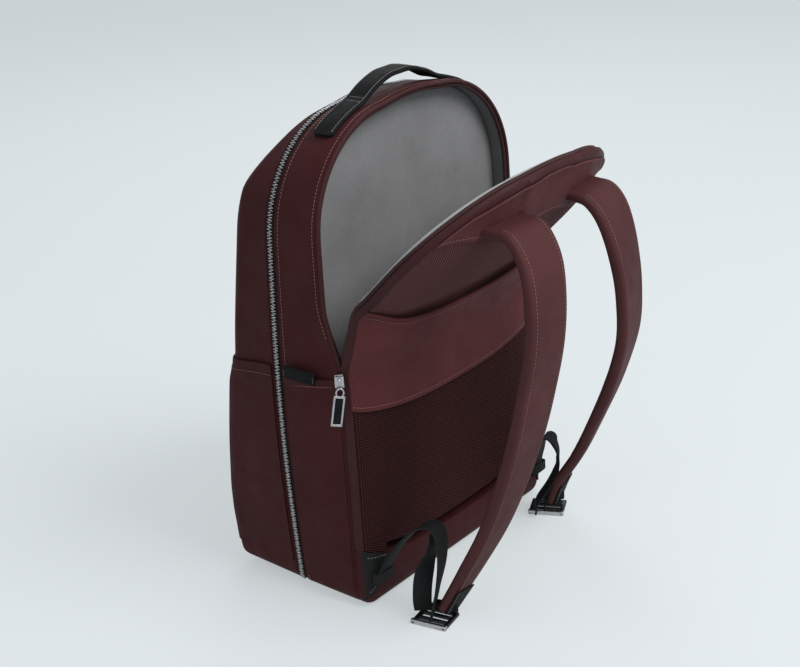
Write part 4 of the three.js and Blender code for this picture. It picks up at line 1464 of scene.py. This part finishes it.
def make_webbing():
    for side, s in sides:
        start = at_depth([(0, -24, 45)])[0]
        end = at_depth([(0, -80 if s < 0 else -50, 45)])[0]
        follow = ("pack_body", f"webbing_end_{side}", tuple(start), tuple(end))
        main = web(f"webbing_{side}", WEB_PATHS[side], WEB_FLATS[side], 19 * MM, 2.0 * MM)
        finish_piece(main, follow, "webbing", f"webbing_rise_{side}", f"webbing_fall_{side}")
        tail = web(f"webbing_tail_{side}", TAIL_PATHS[side], TAIL_FLATS[side], 18 * MM, 1.8 * MM, 50)
        finish_piece(tail, follow, "webbing")

        # triangular tab sewn to the lower corner, and the loop that the webbing comes out of
        x0, x1 = s * 143.5 * MM, s * 116 * MM
        parts = []
        verts, faces, uvs = [], [], []
        n = 24
        for layer in (0, 1):
            for i in range(n + 1):
                for j in range(n + 1):
                    u, v = i / n, j / n
                    x = lerp(x0, x1, u)
                    z_high, z_low = lerp(62, 50, u) * MM, lerp(9, 45, u) * MM
                    z = lerp(z_low, z_high, v)
                    lift = 0.5 * MM + 1.5 * MM * (1 - layer)
                    verts.append((x, over_panel(x, z, lift), z))
                    uvs.append((x, z))
        step = (n + 1) ** 2
        for i in range(n):
            for j in range(n):
                a = i * (n + 1) + j
                faces.append((a, a + 1, a + n + 2, a + n + 1))
                faces.append((a + step, a + n + 1 + step, a + n + 2 + step, a + 1 + step))
        rim = [i * (n + 1) for i in range(n)] + [n * (n + 1) + j for j in range(n)] \
            + [(n - i) * (n + 1) + n for i in range(n)] + [n - j for j in range(n)]
        for a, b in zip(rim, rim[1:] + rim[:1]):
            faces.append((a, b, b + step, a + step))
        parts.append(make(f"tab_{side}", verts, faces, ["webbing"], uvs=uvs))
        for inset in (0.12, 0.88):
            line = []
            for v in np.linspace(0.06, 0.94, 20):
                x = lerp(x0, x1, v)
                z = lerp(lerp(9, 45, v), lerp(62, 50, v), inset) * MM
                line.append((x, over_panel(x, z, 2.2 * MM), z))
            parts.append(stitches(f"tab_row_{inset}", line, [(0, -1, 0)] * len(line), look="pale_thread"))
        finish_piece(join(f"corner_tab_{side}", parts), "pack_body", "webbing", f"webbing_tab_{side}")
        loop = []
        low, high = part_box(f"webbing_keeper_{side}")
        xm, zm = (low[0] + high[0]) / 2, (low[2] + high[2]) / 2
        y_in = over_panel(xm, zm, 1.0 * MM)
        w = (high[0] - low[0]) / 2 + 1 * MM
        for a in np.linspace(0, 2 * math.pi, 40, endpoint=False):
            c, q = math.cos(a), math.sin(a)
            power = 0.55
            loop.append((xm + w * math.copysign(abs(c) ** power, c), y_in - 4.4 * MM
                         + 3.8 * MM * math.copysign(abs(q) ** power, q), zm))
        loop = np.array(loop)
        centre = loop.mean(axis=0)
        rings = []
        for p in loop:
            away = p - centre
            away /= np.linalg.norm(away)
            rings.append([p + np.array([0, 0, h]) + away * o for h, o in
                          ((-5 * MM, 0), (-4.6 * MM, 0.8 * MM), (4.6 * MM, 0.8 * MM), (5 * MM, 0),
                           (4.6 * MM, -0.8 * MM), (-4.6 * MM, -0.8 * MM))])
        keeper = loft(f"keeper_{side}", rings, ["webbing"], closed=True)
        finish_piece(keeper, "pack_body", "webbing", f"webbing_keeper_{side}")


def block(name, size, place, turn, look, bevel):
    """A box with rounded edges."""
    bm = bmesh.new()
    bmesh.ops.create_cube(bm, size=1.0)
    bmesh.ops.scale(bm, vec=size, verts=bm.verts)
    bmesh.ops.bevel(bm, geom=bm.edges[:] + bm.verts[:], offset=bevel, segments=3, profile=0.6, affect="EDGES")
    bm.transform(Matrix.Translation(place) @ turn)
    mesh = bpy.data.meshes.new(name)
    bm.to_mesh(mesh)
    bm.free()
    mesh.uv_layers.new(name="cloth")
    mesh.materials.append(looks[look])
    mesh.shade_smooth()
    mesh.set_sharp_from_angle(angle=math.radians(50))
    obj = bpy.data.objects.new(name, mesh)
    bpy.context.scene.collection.objects.link(obj)
    return obj


BUCKLE_TURN = {"right": -80, "left": -65}   # degrees about the vertical


def make_buckles():
    """Ladder locks: a frame with two cross bars, its leading bar wider and bright."""
    for side, _ in sides:
        low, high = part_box(f"buckle_{side}")
        centre = (Vector(low) + Vector(high)) / 2
        turn = Matrix.Rotation(math.radians(BUCKLE_TURN[side]), 4, "Z")
        length, width, thick = 36 * MM, 30 * MM, 3.4 * MM
        parts = []

        def bar(x, y, along, across_size, tall, look, lift=0.0):
            place = centre + turn @ Vector((x, y, lift))
            parts.append(block(f"bar_{len(parts)}", (along, across_size, tall), place, turn, look, 0.9 * MM))

        for end in (-1, 1):
            bar(end * (length / 2 - 2.1 * MM), 0, 4.2 * MM, width, thick, "buckle_metal")
        bar(0, -width / 2 + 2.0 * MM, length + 1 * MM, 4.0 * MM, thick + 1.2 * MM, "bright_metal", 0.5 * MM)
        bar(0, width / 2 - 1.9 * MM, length - 4 * MM, 3.8 * MM, thick, "buckle_metal")
        bar(0, -width / 2 + 11 * MM, length - 5 * MM, 3.4 * MM, thick, "buckle_metal")
        bar(0, width / 2 - 10.5 * MM, length - 5 * MM, 3.4 * MM, thick, "buckle_metal", 0.2 * MM)
        finish_piece(join(f"ladder_lock_{side}", parts), f"buckle_{side}", "buckle_metal", f"buckle_{side}")
        # webbing loop that holds the buckle to the strap's end
        end = at_depth([STRAP_PATHS[side][-1]])[0]
        bar_place = centre + turn @ Vector((0, width / 2 - 2 * MM, 0))
        path = [end + np.array((0, 0, 6 * MM)), end, (end + np.array(bar_place)) / 2 + np.array((0, 0, 2 * MM)),
                np.array(bar_place) + np.array((0, 0, 2.2 * MM))]
        steps = 24
        curve = catmull(path, steps)
        hint = np.array(turn @ Vector((1, 0, 0)))
        _, across, out = frames_along(curve, hint)
        rings = []
        for k in range(steps):
            w, t = 11 * MM, 1.1 * MM
            rings.append([curve[k] + across[k] * a + out[k] * b for a, b in
                          ((-w, -t * 0.5), (-w, t * 0.5), (-w + 0.8 * MM, t), (w - 0.8 * MM, t), (w, t * 0.5),
                           (w, -t * 0.5), (w - 0.8 * MM, -t), (-w + 0.8 * MM, -t))])
        holder = loft(f"buckle_loop_{side}", rings, ["webbing"])
        finish_piece(holder, f"strap_{side}", "webbing")


# ---- zip sliders and pulls ---------------------------------------------------------------------------
def make_slider(name, body, node, turn_deg, shift=(0, 0, 0)):
    """Two plates joined by a neck, and the bridge that the pull hangs from."""
    look = "bright_metal"
    low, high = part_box(node)
    centre = (Vector(low) + Vector(high)) / 2 + Vector(shift)
    tall = high[2] - low[2]
    turn = Matrix.Rotation(math.radians(turn_deg), 4, "Z")
    parts = []
    for y, w in ((-2.3 * MM, 8.4 * MM), (2.3 * MM, 7.6 * MM)):
        place = centre + turn @ Vector((0, y, 0))
        parts.append(block(f"plate_{y}", (w, 1.9 * MM, tall), place, turn, look, 0.85 * MM))
    parts.append(block("neck", (2.6 * MM, 4 * MM, 3 * MM), centre + turn @ Vector((0, 0, tall / 2 - 2.4 * MM)),
                       turn, look, 0.4 * MM))
    bridge = []
    for a in np.linspace(0, math.pi, 16):
        bridge.append(centre + turn @ Vector((0, -3.2 * MM - 2.4 * MM * math.sin(a), 3.6 * MM * math.cos(a))))
    bridge = np.array([tuple(p) for p in bridge])
    parts.append(tube("bridge", bridge, 1.15 * MM, look, hint=tuple(turn @ Vector((1, 0, 0)))))
    finish_piece(join(name, parts), body, "zip_metal", node)


def make_pull(name, body, node, turn_deg, shift=(0, 0, 0), lean=0):
    """A ring and a framed plate, hanging from the slider's bridge; lean swings it sideways, in degrees."""
    look = "bright_metal"
    low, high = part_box(node)
    length = high[2] - low[2]
    turn = Matrix.Rotation(math.radians(turn_deg), 4, "Z") @ Matrix.Rotation(math.radians(lean), 4, "Y")
    hook = Vector((0, 0, length / 2 - 2 * MM))
    centre = (Vector(low) + Vector(high)) / 2 + Vector(shift) + hook - turn @ hook
    half = 5.2 * MM
    parts = []
    ring = []
    ring_r = 4.2 * MM
    for a in np.linspace(0, 2 * math.pi, 28, endpoint=False):
        ring.append(tuple(centre + turn @ Vector((ring_r * 0.8 * math.cos(a), 0,
                                                  length / 2 - ring_r + ring_r * math.sin(a)))))
    parts.append(tube("ring", np.array(ring), 0.85 * MM, look, closed=True, hint=tuple(turn @ Vector((0, 1, 0)))))
    plate_top = length / 2 - 2 * ring_r + 1.4 * MM
    plate_low = -length / 2
    middle = (plate_top + plate_low) / 2
    tall = plate_top - plate_low

    def bit(label, x, z, w, h, thick, bit_look):
        place = centre + turn @ Vector((x, 0, z))
        parts.append(block(label, (w, thick, h), place, turn, bit_look, min(w, h, thick) * 0.3))

    bit("rail_l", -half + 0.9 * MM, middle, 1.8 * MM, tall, 2.2 * MM, look)
    bit("rail_r", half - 0.9 * MM, middle, 1.8 * MM, tall, 2.2 * MM, look)
    bit("head", 0, plate_top - 1.2 * MM, 2 * half, 2.4 * MM, 2.2 * MM, look)
    bit("foot", 0, plate_low + 1.2 * MM, 2 * half, 2.4 * MM, 2.2 * MM, look)
    bit("panel", 0, middle - 1 * MM, 2 * half - 3 * MM, tall * 0.86, 1.3 * MM, "leather")
    finish_piece(join(name, parts), body, "zip_metal", node)


def make_zip_hardware():
    for side, s in sides:
        shift = (s * 1.5 * MM, 2 * MM, 3 * MM)
        make_slider(f"laptop_slider_{side}", "pack_body", f"laptop_zip_slider_{side}", s * 45, shift)
        make_pull(f"laptop_pull_{side}", f"laptop_pull_{side}", f"laptop_zip_pull_{side}", s * 45, shift, -10 * s)
    for level in ("upper", "lower"):
        make_slider(f"main_slider_{level}", f"main_slider_{level}", f"main_zip_slider_{level}", 90)
        make_pull(f"main_pull_{level}", f"main_pull_{level}", f"main_zip_pull_{level}", 90)


# ---- slip pockets and tag ------------------------------------------------------------------------------
def wall_half(depth, z):
    path = side_path(shape_at(depth))
    return float(np.interp(z, path[:, 1], path[:, 0]))


def make_side_pockets():
    for side, s in sides:
        rows, cols = 46, 34
        verts, uvs = [], []
        for layer in (0, 1):
            for r in range(rows + 1):
                for c in range(cols + 1):
                    u, v = c / cols, r / rows
                    depth = lerp(3 * MM, ZIP_DEPTH - 7.4 * MM, u)
                    z = lerp(16 * MM, lerp(237, 229, u) * MM, v)
                    belly = math.sin(math.pi * u) ** 0.8 * (0.4 + 0.6 * v)
                    lift = 1.3 * MM + 2.2 * MM * belly + wobble((s, depth, z), 16, 0.7 * MM) * belly
                    lift += (0.9 * MM if v > 0.965 else 0) - 0.6 * MM * (v < 0.03)
                    x = s * (wall_half(depth, z) + lift - 1.1 * MM * layer)
                    verts.append((x, SEAM_Y + depth, z))
                    uvs.append((depth, z))
        pocket = make(f"side_pocket_{side}_panel", verts, sheet_faces(rows, cols), ["canvas"], uvs=uvs)
        finish_piece(pocket, "pack_body", "fabric", f"side_pocket_{side}")
        row = []
        for u in np.linspace(0.02, 0.98, 40):
            depth = lerp(3 * MM, ZIP_DEPTH - 7.4 * MM, u)
            z = lerp(237, 229, u) * MM - 7.5 * MM
            belly = math.sin(math.pi * u) ** 0.8
            row.append((s * (wall_half(depth, z) + 1.4 * MM + 2.3 * MM * belly), SEAM_Y + depth, z))
        hem = stitches(f"side_hem_{side}", row, [(s, 0, 0)] * len(row))
        finish_piece(hem, "pack_body", "fabric")
    low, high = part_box("side_tag")
    size = (2.2 * MM, high[1] - low[1], high[2] - low[2])
    centre = (Vector(low) + Vector(high)) / 2 + Vector((-0.4 * MM, 0, 3 * MM))
    tag = block("tag", size, centre, Matrix.Identity(4), "leather", 0.8 * MM)
    x = centre.x - size[0] / 2 - 0.05 * MM
    rows = []
    inset = 1.8 * MM
    bottom, top = low[2] + 3 * MM + inset, high[2] + 3 * MM - inset
    corners = [(x, low[1] + inset, bottom), (x, high[1] - inset, bottom), (x, high[1] - inset, top),
               (x, low[1] + inset, top)]
    for a, b in ((corners[0], corners[3]), (corners[1], corners[2])):
        line = np.linspace(a, b, 12)
        rows.append(stitches(f"tag_row_{a[1]:.3f}", line, [(-1, 0, 0)] * 12, look="pale_thread", pitch=2.2 * MM,
                             length=1.5 * MM, radius=0.22 * MM))
    finish_piece(join("loop_tag", [tag] + rows), "pack_body", "leather", "side_tag")


def pocket_section(z, lift, slack):
    """Half of a level section through the slip pocket: from the zip forwards, round the corner, to the middle."""
    w = float(np.interp(z, ZIP_SIDE[:, 1], ZIP_SIDE[:, 0]))
    front = smooth_shell_depth(z)
    side = edge_share(z)
    points = []
    for t in np.linspace(0.03, 1, 15):
        points.append((w - SHELL_TAPER * t + lift, lerp(SHELL_BACK, front - SHELL_EDGE * side, t)))
    for e in np.array(SHELL_ROUNDS[2:]) * MM:
        drop = (SHELL_EDGE - math.sqrt(SHELL_EDGE ** 2 - (SHELL_EDGE - e) ** 2)) * side
        turn = e / (SHELL_ROUNDS[-1] * MM)
        points.append((w - SHELL_TAPER - e + lift * (1 - turn), front - drop + lift * turn))
    reach = w - SHELL_TAPER - SHELL_ROUNDS[-1] * MM
    for x in np.linspace(reach, 0, 24)[1:]:
        points.append((x, front + lift + slack * ease((reach - x) / (50 * MM))))
    return points


ZIP_SIDE = side_path(ZIP)


def make_front_pocket():
    """The slip pocket's panel lies over the front shell from zip to zip; its hem stands a little open."""
    rows = 60
    count = len(pocket_section(0.1, 0, 0))
    verts, uvs, hem_rows = [], [], []
    for layer in (0, 1):
        for r in range(rows + 1):
            v = r / rows
            half = []
            for k in range(count):
                top = POCKET_Z + lerp(5.5, -1.5, ease(k / 20)) * MM
                z = lerp(27 * MM, top, v)
                lift = 0.5 * MM + 1.3 * MM * (1 - layer) + 0.8 * MM * (v > 0.975)
                slack = 3.2 * MM * ease((v - 0.55) / 0.45)
                x, depth = pocket_section(z, lift, slack)[k]
                half.append((x, depth + 2.5 * MM * middle_share(x) * (z > 0.06), z))
            full = half + [(-x, d, z) for x, d, z in half[-2::-1]]
            for x, d, z in full:
                verts.append((x, SEAM_Y + min(d + front_dent(x, z), FRONT_DEPTH + 3 * MM), z))
                uvs.append((x + d, z))
            if layer == 0 and r == rows - 3:
                hem_rows = [(x, SEAM_Y + min(d, FRONT_DEPTH + 3 * MM), z) for x, d, z in full]
    panel = make("front_pocket", verts, sheet_faces(rows, 2 * count - 2), ["canvas"], uvs=uvs)
    hem = np.array(hem_rows)
    ups = np.array([(np.sign(x) * (abs(x) > 0.13), float(abs(x) < 0.142), 0) for x, _, _ in hem_rows], float)
    ups /= np.linalg.norm(ups, axis=1)[:, None]
    hem = hem + ups * 0.4 * MM
    whole = join("front_slip_pocket", [panel, stitches("front_hem_row", hem, ups)])
    finish_piece(whole, "front_shell", "fabric", "front_pocket_panel")


make_straps()
make_handle()
make_webbing()
make_buckles()
make_zip_hardware()
make_side_pockets()
make_front_pocket()
